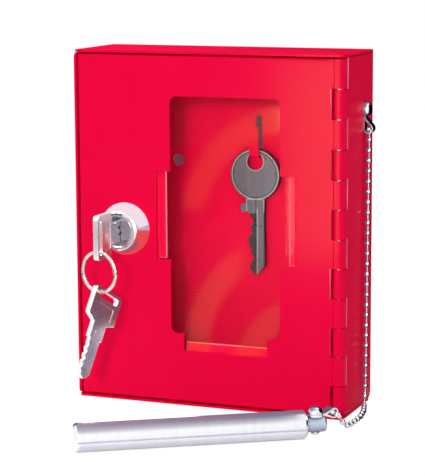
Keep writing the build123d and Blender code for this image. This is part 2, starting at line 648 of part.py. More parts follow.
with BuildPart() as key_ring:
    with BuildSketch(Plane(origin=ring_centre, x_dir=ring_along, z_dir=(0, 0, 1))):
        # two flattened coils side by side
        with Locations((loop_r, WIRE_DIA / 4), (loop_r, -WIRE_DIA / 4)):
            RectangleRounded(WIRE_DIA * 0.86, WIRE_DIA / 2 + TOUCH, WIRE_DIA / 5)
    revolve(axis=Axis(ring_centre, ring_out))
    # the coil's cut end, a notch in one half
    with BuildSketch(Plane(origin=ring_centre, x_dir=ring_along, z_dir=ring_out)):
        with Locations((loop_r * cos(radians(200)), loop_r * sin(radians(200)))):
            Rectangle(2 * WIRE_DIA, WIRE_DIA / 4)
    extrude(amount=WIRE_DIA, mode=Mode.SUBTRACT)
key_ring.part.label = "key_ring"

tilt = radians(SPARE_TILT)
across = Vector(sin(radians(RING_TURN)), cos(radians(RING_TURN)), 0)
spare_axis = Vector(0, 0, -cos(tilt)) - across * sin(tilt)
spare_width = across * cos(tilt) - Vector(0, 0, sin(tilt))
wire_in = SLOT_FROM_END - SLOT_W / 2 + WIRE_DIA / 2 + RING_PLAY
wire_side = -(SLOT_L - SLOT_W) / 2 - 0.1
spare_end = ring_foot - spare_axis * wire_in - spare_width * wire_side
spare_part = cabinet_key(Plane(origin=spare_end, x_dir=spare_width, z_dir=spare_width.cross(spare_axis)))
with BuildPart() as spare_key:
    add(spare_part)
spare_key.part.label = "spare_key"


def blade_shape(*points: tuple[float, float]) -> Polyline:
    """Closed outline on the hung key.

    Points are in half neck widths and, downwards, in shares of the tip's distance.
    """
    return Polyline(*[(x * HUNG_NECK_W / 2, -down * HUNG_TIP) for x, down in points], close=True)


# Key on the hook: round bow with a raised rim, framed neck, cut blade
with BuildPart() as hung_key:
    hole_z = HOOK_TOP_Z - sqrt((HUNG_HOLE_DIA / 2) ** 2 - (HOOK_ROOT_W / 2) ** 2) + HUNG_PLAY
    hung_y = BACK_IN - HOOK_STAND + HUNG_CLEAR + HUNG_RIM_T / 2
    bow_plane = facing_front(HOOK_X, hung_y, hole_z - HUNG_HOLE_UP)
    with BuildSketch(bow_plane):
        Circle(HUNG_BOW_R)
        with BuildLine():
            blade_shape(
                (-1.0, 0.218), (-0.977, 0.252), (-0.761, 0.349), (-0.341, 0.442), (-0.136, 0.469),
                (-0.591, 0.526), (-0.273, 0.574), (-0.761, 0.626), (-0.682, 0.685), (-0.341, 0.751),
                (-0.545, 0.771), (-0.091, 0.823), (-0.659, 0.921), (-0.205, 0.975), (0.136, 1.0),
                (1.023, 0.896), (0.955, 0.454), (1.0, 0.218),
            )
        make_face()
        # stop on the left of the neck
        with BuildLine():
            blade_shape((-1.568, 0.299), (-1.455, 0.376), (-0.682, 0.363), (-0.818, 0.281))
        make_face()
    extrude(amount=HUNG_T / 2, both=True)
    # raised rim of the bow and raised frame of the neck
    with BuildSketch(bow_plane):
        Circle(HUNG_BOW_R)
        Circle(HUNG_BOW_R - HUNG_RIM_T / 2, mode=Mode.SUBTRACT)
        with BuildLine():
            blade_shape((-0.977, 0.247), (0.977, 0.247), (0.909, 0.431), (-0.364, 0.431))
        make_face()
    extrude(amount=HUNG_RIM_T / 2, both=True)
    for side in (-1, 1):
        with BuildSketch(bow_plane.offset(side * HUNG_RIM_T / 2)):
            with BuildLine():
                blade_shape((-0.659, 0.274), (0.705, 0.274), (0.659, 0.404), (-0.273, 0.404))
            make_face()
        extrude(amount=-side * HUNG_T / 6, mode=Mode.SUBTRACT)
        # long pointed groove down the blade
        with BuildSketch(bow_plane.offset(side * HUNG_RIM_T / 2)):
            with BuildLine():
                blade_shape((0.205, 0.195), (0.386, 0.261), (0.386, 1.02), (0.091, 1.02), (0.023, 0.261))
            make_face()
        extrude(amount=-side * 0.36 * HUNG_T, mode=Mode.SUBTRACT)
    with BuildSketch(bow_plane.offset(-HUNG_T)):
        with Locations((0, HUNG_HOLE_UP)):
            Circle(HUNG_HOLE_DIA / 2)
    extrude(amount=2 * HUNG_T, mode=Mode.SUBTRACT)
hung_key.part.label = "hung_key"


def rivet(seat: Plane, shank: float, head_h: float) -> Part:
    """Round-headed rivet.

    Its head stands on the seat plane along local z; its shank and clinched tail run the other way.
    """
    with BuildPart() as body:
        with BuildSketch(Plane.XY):
            Circle(RIVET_HEAD_DIA / 2)
        extrude(amount=head_h)
        fillet(body.faces().sort_by(Axis.Z)[-1].edges(), min(head_h * 0.85, RIVET_HEAD_DIA * 0.4))
        with BuildSketch(Plane.XY):
            Circle(RIVET_DIA / 2)
        extrude(amount=-shank - RIVET_TAIL_H / 2)
        with BuildSketch(Plane.XY.offset(-shank)):
            Circle(RIVET_TAIL_DIA / 2)
        extrude(amount=-RIVET_TAIL_H)
        fillet(body.faces().sort_by(Axis.Z)[0].edges(), RIVET_TAIL_H / 2)
    return seat * body.part


def end_fitting(seat: Plane, drop: float) -> Part:
    """Strap fitting: an eye on the seat plane, then a pear-shaped cage along local x that holds the end bead.

    The cage starts the given distance below the seat plane.
    """
    with BuildPart() as body:
        with BuildSketch(Plane.XY):
            Circle(EYE_DIA / 2)
            Rectangle(EYE_DIA / 2 + 1.2, CAGE_W * 0.8, align=(Align.MIN, Align.CENTER))
            Circle(RIVET_DIA / 2 + 2 * LOCK_PLAY, mode=Mode.SUBTRACT)
        extrude(amount=EYE_T)
        bulb_r = CAGE_H / 2
        bulb = (EYE_TO_BEAD - (bulb_r - STRAP - BEAD_R) + TOUCH, bulb_r - drop)
        with BuildSketch(Plane.XZ):
            with Locations(bulb):
                Circle(bulb_r)
            with BuildLine():
                Polyline(
                    (EYE_DIA / 2 + 0.3, 0),
                    (bulb[0] - 1.2, -drop + (0.35 if drop else 0)),
                    (bulb[0], -drop),
                    (bulb[0], CAGE_H - drop),
                    (bulb[0] - 1.2, CAGE_H - drop - 0.35),
                    (EYE_DIA / 2 + 0.3, EYE_T),
                    close=True,
                )
            make_face()
        extrude(amount=CAGE_W / 2, both=True)
        with BuildSketch(Plane.XZ):
            with Locations(bulb):
                Circle(bulb_r - STRAP)
            with BuildLine():
                Polyline(
                    (EYE_DIA / 2 + 1.5, EYE_T / 2 - 0.15),
                    (bulb[0] - 1.0, -drop + STRAP + (0.3 if drop else 0)),
                    (bulb[0], -drop + STRAP),
                    (bulb[0], CAGE_H - drop - STRAP),
                    (bulb[0] - 1.0, CAGE_H - drop - STRAP - 0.3),
                    (EYE_DIA / 2 + 1.5, EYE_T / 2 + 0.15),
                    close=True,
                )
            make_face()
        extrude(amount=CAGE_W, both=True, mode=Mode.SUBTRACT)
        # slot in the foot of the cage for the first link
        with BuildSketch(Plane.YZ.offset(bulb[0])):
            with Locations((0, bulb[1])):
                SlotOverall(2 * (bulb_r - STRAP) - 0.1, BEAD_BORE + 0.3, rotation=90)
        extrude(amount=2 * bulb_r, mode=Mode.SUBTRACT)
    return seat * body.part


# Upper end fitting, riveted to the right wall; local x points down
upper_seat = Plane(origin=(WALL_X + TOUCH, RIVET_Y, RIVET_Z), x_dir=(0, 0, -1), z_dir=(1, 0, 0))
upper_fitting_part = end_fitting(upper_seat, 0)
with BuildPart() as upper_connector:
    add(upper_fitting_part)
upper_connector.part.label = "upper_connector"

chain_rivet_part = rivet(upper_seat.offset(EYE_T + TOUCH), EYE_T + SHEET + 3 * TOUCH, RIVET_HEAD_H)
with BuildPart() as chain_rivet:
    add(chain_rivet_part)
chain_rivet.part.label = "chain_rivet"

# Hammer on the floor in front of the case
rod_dir = Vector(cos(radians(ROD_TURN)), sin(radians(ROD_TURN)), 0)
rod_end = Vector(WALL_X - ROD_IN, FRONT_Y - ROD_OUT, ROD_DIA / 2)
rod_plane = Plane(origin=rod_end, x_dir=(0, 0, 1), z_dir=rod_dir)
rivet_at = rod_end + rod_dir * STUD_RIVET

with BuildPart() as hammer_rod:
    with BuildSketch(rod_plane):
        Circle(ROD_DIA / 2)
    extrude(amount=-ROD_L)
    fillet(hammer_rod.faces().sort_by(Axis(rod_end, rod_dir))[0].edges(), ROD_ROUND)
    chamfer(hammer_rod.faces().sort_by(Axis(rod_end, rod_dir))[-1].edges(), ROD_CHAMFER)
hammer_rod.part.label = "hammer_rod"

with BuildPart() as hammer_stud:
    with BuildSketch(rod_plane.offset(TOUCH)):
        Circle(STUD_DIA / 2 - STUD_ROOT)
    extrude(amount=STUD_L / 2)
    with BuildSketch(rod_plane.offset(STUD_ROOT * 2)):
        Circle(STUD_DIA / 2)
    extrude(amount=STUD_L - STUD_ROOT * 2)
    fillet(hammer_stud.faces().sort_by(Axis(rod_end, rod_dir))[-1].edges(), STUD_DIA / 6)
    with BuildSketch(Plane(origin=(rivet_at.X, rivet_at.Y, 0))):
        Circle(RIVET_DIA / 2 + LOCK_PLAY)
    extrude(amount=ROD_DIA, mode=Mode.SUBTRACT)
hammer_stud.part.label = "hammer_stud"

# Lower end fitting, loose on the stud's rivet
fitting_dir = Vector(cos(radians(FITTING_TURN)), sin(radians(FITTING_TURN)), 0)
seat_z = ROD_DIA / 2 + STUD_DIA / 2 + TOUCH
lower_seat = Plane(origin=(rivet_at.X, rivet_at.Y, seat_z), x_dir=fitting_dir, z_dir=(0, 0, 1))
lower_drop = 1.6
lower_fitting_part = end_fitting(lower_seat, lower_drop)
with BuildPart() as lower_connector:
    add(lower_fitting_part)
lower_connector.part.label = "lower_connector"

stud_rivet_part = rivet(lower_seat.offset(EYE_T + TOUCH), EYE_T + STUD_DIA + 3 * TOUCH, DOME_H)
with BuildPart() as stud_rivet:
    add(stud_rivet_part)
stud_rivet.part.label = "stud_rivet"

# Ball chain: beads at an even pitch along the line the chain hangs and lies in
FLOOR_Z = BEAD_R + TOUCH
upper_end = Vector(WALL_X + TOUCH + CAGE_H / 2, RIVET_Y, RIVET_Z - EYE_TO_BEAD)
lower_end = Vector(rivet_at.X, rivet_at.Y, seat_z + CAGE_H / 2 - lower_drop) + fitting_dir * EYE_TO_BEAD
PIVOT = Vector(WALL_X + 2 * BEAD_R, RIVET_Y - HANG_DRIFT, FLOOR_Z)
hang_line = [
    upper_end,
    Vector(WALL_X + HANG_OUT, RIVET_Y - 0.2 * HANG_DRIFT, 0.535 * upper_end.Z),
    Vector(WALL_X + HANG_OUT, RIVET_Y - 0.4 * HANG_DRIFT, 10 * BEAD_R),
    Vector(WALL_X + HANG_OUT, RIVET_Y - 0.53 * HANG_DRIFT, PITCH),
    PIVOT,
]
# corners of the line on the floor, in pitches of chain from the case's front right corner, then the share of
# the lower end's height
floor_corners = [
    (1.11, 3.11, 0),
    (1.43, 1.14, 0),
    (1.48, -1.48, 0),
    (1.38, -2.84, 0.17),
    (1.22, -3.71, 0.42),
    (1.09, -4.43, 0.8),
]
floor_line = [
    PIVOT,
    *[
        Vector(WALL_X + right * PITCH, FRONT_Y + back * PITCH, max(FLOOR_Z, share * lower_end.Z))
        for right, back, share in floor_corners
    ],
    lower_end,
]


def even_beads(line: list[Vector]) -> list[Vector]:
    """Bead centres along a line of straight runs, both ends included, close to the chain's pitch."""
    runs = [(b - a).length for a, b in zip(line, line[1:])]
    count = round(sum(runs) / PITCH)
    centres = []
    for k in range(count + 1):
        left = sum(runs) * k / count
        i = 0
        while i < len(runs) - 1 and left > runs[i]:
            left -= runs[i]
            i += 1
        centres.append(line[i] + (line[i + 1] - line[i]) * (left / runs[i]))
    return centres


def bend_at(centres: list[Vector], i: int) -> float:
    """Angle in degrees by which the chain turns at bead i."""
    if i in (0, len(centres) - 1):
        return 0
    return (centres[i] - centres[i - 1]).get_angle(centres[i + 1] - centres[i])


def beads(centres: list[Vector], first: int, last: int) -> Part:
    """Hollow beads from first to last, each bored along the chain."""
    with BuildPart() as body:
        for i in range(first, last + 1):
            ahead = centres[min(i + 1, len(centres) - 1)] - centres[max(i - 1, 0)]
            side = Plane(origin=centres[i], z_dir=ahead).x_dir
            section = Plane(origin=centres[i], x_dir=side, z_dir=side.cross(ahead))
            with BuildSketch(section):
                with BuildLine():
                    half = BEAD_BORE / 2
                    reach = sqrt(BEAD_R**2 - half**2)
                    ThreePointArc((half, -reach), (BEAD_R, 0), (half, reach))
                    Line((half, reach), (half, -reach))
                make_face()
            revolve(axis=Axis(centres[i], ahead))
    return body.part


def links(centres: list[Vector], first: int, last: int, stop: list[int]) -> Part:
    """Pins between neighbouring beads. A pin ends outside a bead in stop or at a sharp bend."""
    with BuildPart() as body:
        for i in range(first, last):
            a, b = centres[i], centres[i + 1]
            along = (b - a).normalized()
            gaps = [
                BEAD_R + 0.05 if j in stop or bend_at(centres, j) > SHARP_BEND else LINK_IN for j in (i, i + 1)
            ]
            with BuildSketch(Plane(origin=a + along * gaps[0], z_dir=along)):
                Circle(LINK_DIA / 2)
            extrude(amount=(b - a).length - sum(gaps))
    return body.part


hang = even_beads(hang_line)
tail = even_beads(floor_line)
pivot_bead = len(hang) - 1
hang_beads_part = beads(hang + tail[1:], 0, pivot_bead)
hang_links_part = links(hang + tail[1:], 0, pivot_bead, [])
tail_beads_part = beads([hang[-2], *tail], 2, len(tail))
tail_links_part = links([hang[-2], *tail], 1, len(tail), [1])

with BuildPart() as chain_beads:
    add(hang_beads_part)
chain_beads.part.label = "chain_beads"

with BuildPart() as chain_links:
    add(hang_links_part)
chain_links.part.label = "chain_links"

with BuildPart() as tail_beads:
    add(tail_beads_part)
tail_beads.part.label = "tail_beads"

with BuildPart() as tail_links:
    add(tail_links_part)
tail_links.part.label = "tail_links"

for piece in (
    case, strike_plate, hinge_pin, door_panel, glass_pane, lock_housing, lock_nut, lock_plug, tumbler_wafers,
    cam, cam_screw, lock_key, key_ring, spare_key, hung_key, upper_connector, chain_rivet, hammer_rod,
    hammer_stud, lower_connector, stud_rivet, chain_beads, chain_links, tail_beads, tail_links,
):
    export_step(piece.part, f"parts/{piece.part.label}.step")
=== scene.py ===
"""Looks of a wall-mounted key box: red steel case, glazed door, cam lock, keys and a hammer on a chain.

Metres, +Z up, front towards -Y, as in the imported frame. Each sub-assembly is a class that builds its own
pieces over the frame's nodes and dresses them. Sizes that the frame already holds are read from it.
"""

import json
import logging
import math
from collections.abc import Iterable
from dataclasses import dataclass, field, replace
from enum import Enum
from typing import Any

import bmesh
import bpy
from mathutils import Matrix, Quaternion, Vector

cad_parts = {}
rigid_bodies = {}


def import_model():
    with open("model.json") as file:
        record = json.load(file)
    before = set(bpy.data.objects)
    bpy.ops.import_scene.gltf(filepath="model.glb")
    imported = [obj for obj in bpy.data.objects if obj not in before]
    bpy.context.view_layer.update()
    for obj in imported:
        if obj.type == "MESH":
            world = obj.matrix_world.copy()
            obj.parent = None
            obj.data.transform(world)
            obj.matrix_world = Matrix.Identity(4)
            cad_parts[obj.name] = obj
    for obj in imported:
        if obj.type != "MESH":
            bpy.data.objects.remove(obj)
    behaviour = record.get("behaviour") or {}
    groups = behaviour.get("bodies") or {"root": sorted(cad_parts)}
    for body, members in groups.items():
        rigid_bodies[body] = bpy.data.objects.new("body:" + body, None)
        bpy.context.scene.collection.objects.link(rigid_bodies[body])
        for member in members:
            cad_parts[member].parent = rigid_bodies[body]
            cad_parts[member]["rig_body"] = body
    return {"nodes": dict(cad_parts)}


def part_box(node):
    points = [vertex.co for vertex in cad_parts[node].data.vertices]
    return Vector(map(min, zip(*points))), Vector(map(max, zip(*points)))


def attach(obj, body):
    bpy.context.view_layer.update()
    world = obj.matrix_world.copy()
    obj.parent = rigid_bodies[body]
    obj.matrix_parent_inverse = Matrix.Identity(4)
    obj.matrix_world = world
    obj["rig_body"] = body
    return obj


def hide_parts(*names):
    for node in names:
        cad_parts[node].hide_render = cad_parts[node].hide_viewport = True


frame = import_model()
log = logging.getLogger("key_box")
MM = 0.001
MERGED = 0.002 * MM  # corners of a CAD mesh closer than this are one
LEVEL = math.radians(0.4)  # neighbouring faces that turn less than this are one flat face
ROD_TURN = math.radians(33.2)  # the hammer's length, turned from the box's front
Colour = tuple[float, float, float]
Point = tuple[float, float, float]
Corners = tuple[Point, Point, Point, Point]
Reach = tuple[Any, Any]  # two ends of a range: numbers or node outputs
BLACK = (0.0, 0.0, 0.0)
WHITE = (1.0, 1.0, 1.0)


def opaque(colour: Colour) -> tuple[float, float, float, float]:
    """The colour with full alpha."""
    return (*colour, 1.0)


class NodeSheet:
    """Adds nodes to one tree, with their settings, constants and links given together."""

    def __init__(self, tree: bpy.types.NodeTree) -> None:
        """Keeps the tree that the nodes go into."""
        self.tree = tree

    def add(self, kind: str, inputs: dict[Any, Any] | None = None, **settings: Any) -> bpy.types.Node:
        """Adds one node.

        Args:
            kind: the node's type name.
            inputs: a constant or another node's output for each socket, by identifier, name or place.
            **settings: the node's own properties.

        Returns:
            The new node.
        """
        node = self.tree.nodes.new(kind)
        for name, value in settings.items():
            setattr(node, name, value)
        by_identifier = {socket.identifier: socket for socket in node.inputs}
        for key, value in (inputs or {}).items():
            socket = by_identifier[key] if key in by_identifier else node.inputs[key]
            if isinstance(value, bpy.types.NodeSocket):
                self.tree.links.new(value, socket)
            else:
                socket.default_value = value
        return node

    def math(self, operation: str, first: Any, second: Any = 0.0) -> bpy.types.NodeSocket:
        """One step of arithmetic on numbers or outputs."""
        return self.add("ShaderNodeMath", {0: first, 1: second}, operation=operation).outputs[0]

    def length(self, sides: Iterable[bpy.types.NodeSocket]) -> bpy.types.NodeSocket:
        """Length of a line from its two sides."""
        squares = [self.math("MULTIPLY", side, side) for side in sides]
        return self.math("SQRT", self.math("ADD", *squares))

    def off_centre(self, place: bpy.types.Node, centre: tuple[float, float]) -> list[bpy.types.NodeSocket]:
        """How far a place is from a point of an upright face, along X and along Z."""
        return [self.math("SUBTRACT", place.outputs[axis], value) for axis, value in zip("XZ", centre)]

    def off_hoop(self, off: list[bpy.types.NodeSocket], radius: float) -> bpy.types.NodeSocket:
        """How far a place is from the line of a hoop, by its sides from the hoop's centre."""
        return self.math("ABSOLUTE", self.math("SUBTRACT", self.length(off), radius))

    def spread(
        self, value: Any, source: Reach, target: Reach = (0.0, 1.0), run: str = "LINEAR"
    ) -> bpy.types.NodeSocket:
        """Carries a value from one range over to another, held at its ends, in a straight or a soft run."""
        limits = {"From Min": source[0], "From Max": source[1], "To Min": target[0], "To Max": target[1]}
        return self.add("ShaderNodeMapRange", {"Value": value, **limits}, interpolation_type=run).outputs[0]

    def mix(self, share: bpy.types.NodeSocket, first: Any, second: Any) -> bpy.types.NodeSocket:
        """Goes from the first colour to the second as the share rises."""
        mixed = self.add("ShaderNodeMix", {0: share, "A_Color": first, "B_Color": second}, data_type="RGBA")
        return next(socket for socket in mixed.outputs if socket.identifier == "Result_Color")

    def effect(self, group: bpy.types.NodeTree, inputs: dict[str, Any]) -> bpy.types.Node:
        """Places a shared effect with this material's own values."""
        return self.add("ShaderNodeGroup", inputs, node_tree=group)

    def ramp(self, mask: bpy.types.NodeSocket, stops: list[tuple[float, Colour]]) -> bpy.types.NodeSocket:
        """Colours spread over a mask.

        Args:
            mask: the value from 0 to 1 to read.
            stops: place and colour of each stop, in order.

        Returns:
            The colour output.
        """
        node = self.add("ShaderNodeValToRGB", {0: mask})
        elements = node.color_ramp.elements
        while len(elements) < len(stops):
            elements.new(1.0)
        for element, (place, colour) in zip(elements, stops):
            element.position = place
            element.color = opaque(colour)
        return node.outputs[0]


class SharedEffects:
    """Effects that several finishes use, each built once as a shader node group."""

    def __init__(self) -> None:
        """Builds the three groups."""
        self.haze = self._haze()
        self.working_lines = self._working_lines()
        self.grain = self._grain()

    @staticmethod
    def _open(name: str, inputs: dict[str, float | None], outputs: list[str]) -> tuple[NodeSheet, Any, Any]:
        """Starts a group.

        Args:
            name: the group's name.
            inputs: default value of each input, None for a vector.
            outputs: name of each output, a value.

        Returns:
            The sheet to write on, the group's input node and its output node.
        """
        tree = bpy.data.node_groups.new(name, "ShaderNodeTree")
        for label, default in inputs.items():
            kind = "NodeSocketVector" if default is None else "NodeSocketFloat"
            socket = tree.interface.new_socket(name=label, in_out="INPUT", socket_type=kind)
            if default is not None:
                socket.default_value = default
        for label in outputs:
            tree.interface.new_socket(name=label, in_out="OUTPUT", socket_type="NodeSocketFloat")
        sheet = NodeSheet(tree)
        return sheet, sheet.add("NodeGroupInput"), sheet.add("NodeGroupOutput")

    def _haze(self) -> bpy.types.NodeTree:
        """Roughness that varies with handling: broad smears and small spots.

        Returns:
            The group.
        """
        defaults = {"Vector": None, "Smear": 90.0, "Low": 0.1, "High": 0.3}
        sheet, given, made = self._open("haze", defaults, ["Roughness"])
        vector, smear = given.outputs["Vector"], given.outputs["Smear"]
        broad = sheet.add("ShaderNodeTexNoise", {"Vector": vector, "Scale": smear, "Detail": 3.0})
        small = sheet.math("MULTIPLY", smear, 9.0)
        spots = sheet.add("ShaderNodeTexNoise", {"Vector": vector, "Scale": small, "Detail": 2.0})
        weighed = [
            sheet.math("MULTIPLY", node.outputs[0], share) for node, share in ((broad, 0.7), (spots, 0.3))
        ]
        limits = (given.outputs["Low"], given.outputs["High"])
        roughness = sheet.spread(sheet.math("ADD", *weighed), (0.35, 0.65), limits)
        sheet.tree.links.new(roughness, made.inputs["Roughness"])
        return sheet.tree

    def _working_lines(self) -> bpy.types.NodeTree:
        """Fine lines round the vector's own Z axis: rings on an end face, hoops on a cylinder.

        Returns:
            The group.
        """
        defaults = {"Vector": None, "Pitch": 0.2 * MM}
        sheet, given, made = self._open("working_lines", defaults, ["Height", "Mask"])
        parts = sheet.add("ShaderNodeSeparateXYZ", {0: given.outputs["Vector"]}).outputs
        across = sheet.length((parts["X"], parts["Y"]))
        run = sheet.math("DIVIDE", sheet.math("ADD", across, parts["Z"]), given.outputs["Pitch"])
        layers = ({"W": run, "Scale": 1.0, "Detail": 2.0}, {"W": run, "Scale": 0.12, "Detail": 1.0})
        fine, slow = (sheet.add("ShaderNodeTexNoise", layer, noise_dimensions="1D") for layer in layers)
        sheet.tree.links.new(fine.outputs[0], made.inputs["Height"])
        halves = [sheet.math("MULTIPLY", node.outputs[0], 0.5) for node in (fine, slow)]
        sheet.tree.links.new(sheet.math("ADD", *halves), made.inputs["Mask"])
        return sheet.tree

    def _grain(self) -> bpy.types.NodeTree:
        """Soft bumps of one size, as on sprayed paint and plated steel, with broad clouds over them.

        Returns:
            The group.
        """
        sheet, given, made = self._open("grain", {"Vector": None, "Size": 0.8 * MM}, ["Height", "Mask"])
        vector = given.outputs["Vector"]
        scale = sheet.math("DIVIDE", 1.0, given.outputs["Size"])
        broad = sheet.math("MULTIPLY", scale, 0.06)
        noise = sheet.add("ShaderNodeTexNoise", {"Vector": vector, "Scale": scale, "Detail": 1.5})
        cloud = sheet.add("ShaderNodeTexNoise", {"Vector": vector, "Scale": broad, "Detail": 3.0})
        sheet.tree.links.new(noise.outputs[0], made.inputs["Height"])
        sheet.tree.links.new(cloud.outputs[0], made.inputs["Mask"])
        return sheet.tree


def blank_material(name: str) -> tuple[bpy.types.Material, NodeSheet, bpy.types.NodeSocket]:
    """Starts a material.

    Args:
        name: the material's name.

    Returns:
        The material, the sheet to write on and the piece's own coordinates.
    """
    material = bpy.data.materials.new(name)
    material.use_nodes = True
    material.node_tree.nodes.clear()
    sheet = NodeSheet(material.node_tree)
    return material, sheet, sheet.add("ShaderNodeTexCoord").outputs["Object"]


@dataclass(frozen=True)
class PowderCoat:
    """Sprayed and baked paint with a fine orange-peel surface."""

    name: str = "red_powder_coat"
    colour: Colour = (0.80, 0.0, 0.046)
    deep: Colour = (0.77, 0.0, 0.043)
    sheen: float = 0.036
    tint: Colour = (0.3, 1.0, 0.6)
    peel: float = 0.9 * MM
    low: float = 0.32
    high: float = 0.42
    smear: float = 40.0
    relief: float = 0.02 * MM

    def material(self, effects: SharedEffects) -> bpy.types.Material:
        """Builds the paint.

        Args:
            effects: the shared groups.

        Returns:
            The new material.
        """
        material, sheet, place = blank_material(self.name)
        grain = sheet.effect(effects.grain, {"Vector": place, "Size": self.peel})
        marks = {"Vector": place, "Smear": self.smear, "Low": self.low, "High": self.high}
        haze = sheet.effect(effects.haze, marks)
        skin_relief = {"Strength": 0.3, "Distance": self.relief, "Height": grain.outputs["Height"]}
        bump = sheet.add("ShaderNodeBump", skin_relief)
        skin = sheet.add(
            "ShaderNodeBsdfPrincipled",
            {
                "Base Color": sheet.ramp(grain.outputs["Mask"], [(0.3, self.deep), (0.7, self.colour)]),
                "Roughness": haze.outputs[0],
                "Specular IOR Level": self.sheen,
                "Specular Tint": opaque(self.tint),
                "Normal": bump.outputs[0],
            },
        )
        sheet.add("ShaderNodeOutputMaterial", {"Surface": skin.outputs[0]})
        return material


class Working(Enum):
    """How a metal surface was last worked, which sets the marks left on it."""

    PLATED = "plated"
    TURNED = "turned"
    GROUND = "ground"


@dataclass(frozen=True)
class WorkAxis:
    """The line a surface was turned round or ground along."""

    centre: Point
    direction: Point

    def turn(self) -> Matrix:
        """Rotation that brings the direction onto Z."""
        return Vector(self.direction).rotation_difference(Vector((0, 0, 1))).to_matrix()


@dataclass(frozen=True)
class FaceBand:
    """A band of another colour on an upright face, sized by its two half sides or, as a hoop, its radius and
    half width."""

    centre: tuple[float, float]
    size: tuple[float, float]
    colour: Colour
    hoop: bool = False
    soft: float = 0.2 * MM

    def over(
        self, sheet: NodeSheet, place: bpy.types.Node, base: bpy.types.NodeSocket
    ) -> bpy.types.NodeSocket:
        """Lays the band over a colour.

        Args:
            sheet: the material's sheet.
            place: the separated coordinates.
            base: the colour under the band.

        Returns:
            The colour with the band on it.
        """
        off = sheet.off_centre(place, self.centre)
        if self.hoop:
            radius, half = self.size
            away = sheet.math("SUBTRACT", sheet.off_hoop(off, radius), half)
        else:
            past = [sheet.math("ABSOLUTE", value) for value in off]
            sides = [sheet.math("SUBTRACT", value, half) for value, half in zip(past, self.size)]
            away = sheet.math("MAXIMUM", *sides)
        return sheet.mix(sheet.spread(away, (0.0, self.soft), (1.0, 0.0)), base, opaque(self.colour))


@dataclass(frozen=True)
class Metal:
    """Bare or plated metal with the marks of its working and of handling."""

    name: str
    colour: Colour
    deep: Colour
    low: float
    high: float
    working: Working = Working.PLATED
    axis: WorkAxis = WorkAxis((0.0, 0.0, 0.0), (0.0, 0.0, 1.0))
    pitch: float = 0.2 * MM
    depth: float = 0.004 * MM
    # rim darkens a rounded form towards its outline, painted shade; edge colours the faces turned from the
    # face direction, a painted highlight where light and painted shade where dark; bands paint lines of
    # highlight and shade
    rim: Colour | None = None
    rim_reach: tuple[float, float] = (0.45, 0.75)
    edge: Colour | None = None
    edge_reach: tuple[float, float] = (0.75, 0.97)
    face: Point = (0.0, 1.0, 0.0)
    bands: tuple[FaceBand, ...] = ()
    smear: float = 140.0

    def shade(self, sheet: NodeSheet, base: bpy.types.NodeSocket) -> bpy.types.NodeSocket:
        """Paints light and shade into the colour: bands of painted highlight and shade on a flat face, an
        edge colour on the faces turned from the face direction, and a darker rim towards a rounded form's
        outline, which is painted shade.

        Args:
            sheet: the material's sheet.
            base: the metal's own colour.

        Returns:
            The colour to use.
        """
        if self.bands:
            parts = sheet.add("ShaderNodeSeparateXYZ", {0: sheet.add("ShaderNodeTexCoord").outputs["Object"]})
            for band in self.bands:
                base = band.over(sheet, parts, base)
        if self.edge:
            normal = sheet.add("ShaderNodeTexCoord").outputs["Normal"]
            toward = sheet.add("ShaderNodeVectorMath", {0: normal, 1: self.face}, operation="DOT_PRODUCT")
            flat = sheet.math("ABSOLUTE", toward.outputs["Value"])
            base = sheet.mix(sheet.spread(flat, self.edge_reach), opaque(self.edge), base)
        if self.rim:
            facing = sheet.add("ShaderNodeLayerWeight", {"Blend": 0.5}).outputs["Facing"]
            base = sheet.mix(sheet.spread(facing, self.rim_reach), base, opaque(self.rim))
        return base

    def material(self, effects: SharedEffects) -> bpy.types.Material:
        """Builds the metal.

        Args:
            effects: the shared groups.

        Returns:
            The new material.
        """
        material, sheet, place = blank_material(self.name)
        turn = self.axis.turn()
        location = -(turn @ Vector(self.axis.centre))
        placing = {"Vector": place, "Location": location, "Rotation": turn.to_euler()}
        own = sheet.add("ShaderNodeMapping", placing).outputs[0]
        if self.working is Working.TURNED:
            marks = sheet.effect(effects.working_lines, {"Vector": own, "Pitch": self.pitch})
        elif self.working is Working.GROUND:
            drawn = sheet.add("ShaderNodeMapping", {"Vector": own, "Scale": (1.0, 1.0, 0.02)}).outputs[0]
            marks = sheet.effect(effects.grain, {"Vector": drawn, "Size": self.pitch})
        else:
            marks = sheet.effect(effects.grain, {"Vector": own, "Size": self.pitch})
        handling = {"Vector": place, "Smear": self.smear, "Low": self.low, "High": self.high}
        haze = sheet.effect(effects.haze, handling)
        relief = {"Strength": 0.5, "Distance": self.depth, "Height": marks.outputs["Height"]}
        bump = sheet.add("ShaderNodeBump", relief)
        own_colour = sheet.ramp(marks.outputs["Mask"], [(0.35, self.deep), (0.6, self.colour)])
        skin = sheet.add(
            "ShaderNodeBsdfPrincipled",
            {
                "Base Color": self.shade(sheet, own_colour),
                "Metallic": 1.0,
                "Roughness": haze.outputs[0],
                "Normal": bump.outputs[0],
            },
        )
        sheet.add("ShaderNodeOutputMaterial", {"Surface": skin.outputs[0]})
        return material


@dataclass(frozen=True)
class Smear:
    """One curved streak of painted reflection on the pane: part of a ring in the pane's plane that fades out
    past a line.
    """

    centre: tuple[float, float]
    radius: float
    width: float
    fade_axis: str
    fade: Reach

    def mask(self, sheet: NodeSheet, place: bpy.types.Node) -> bpy.types.NodeSocket:
        """Strength of the mark.

        Args:
            sheet: the material's sheet.
            place: the separated coordinates.

        Returns:
            1 in the mark's core, falling softly to 0.
        """
        off_line = sheet.off_hoop(sheet.off_centre(place, self.centre), self.radius)
        core = sheet.spread(off_line, (self.width * 0.5, self.width * 1.3), (1.0, 0.0), "SMOOTHSTEP")
        end = sheet.spread(place.outputs[self.fade_axis], self.fade, run="SMOOTHSTEP")
        return sheet.math("MULTIPLY", core, end)


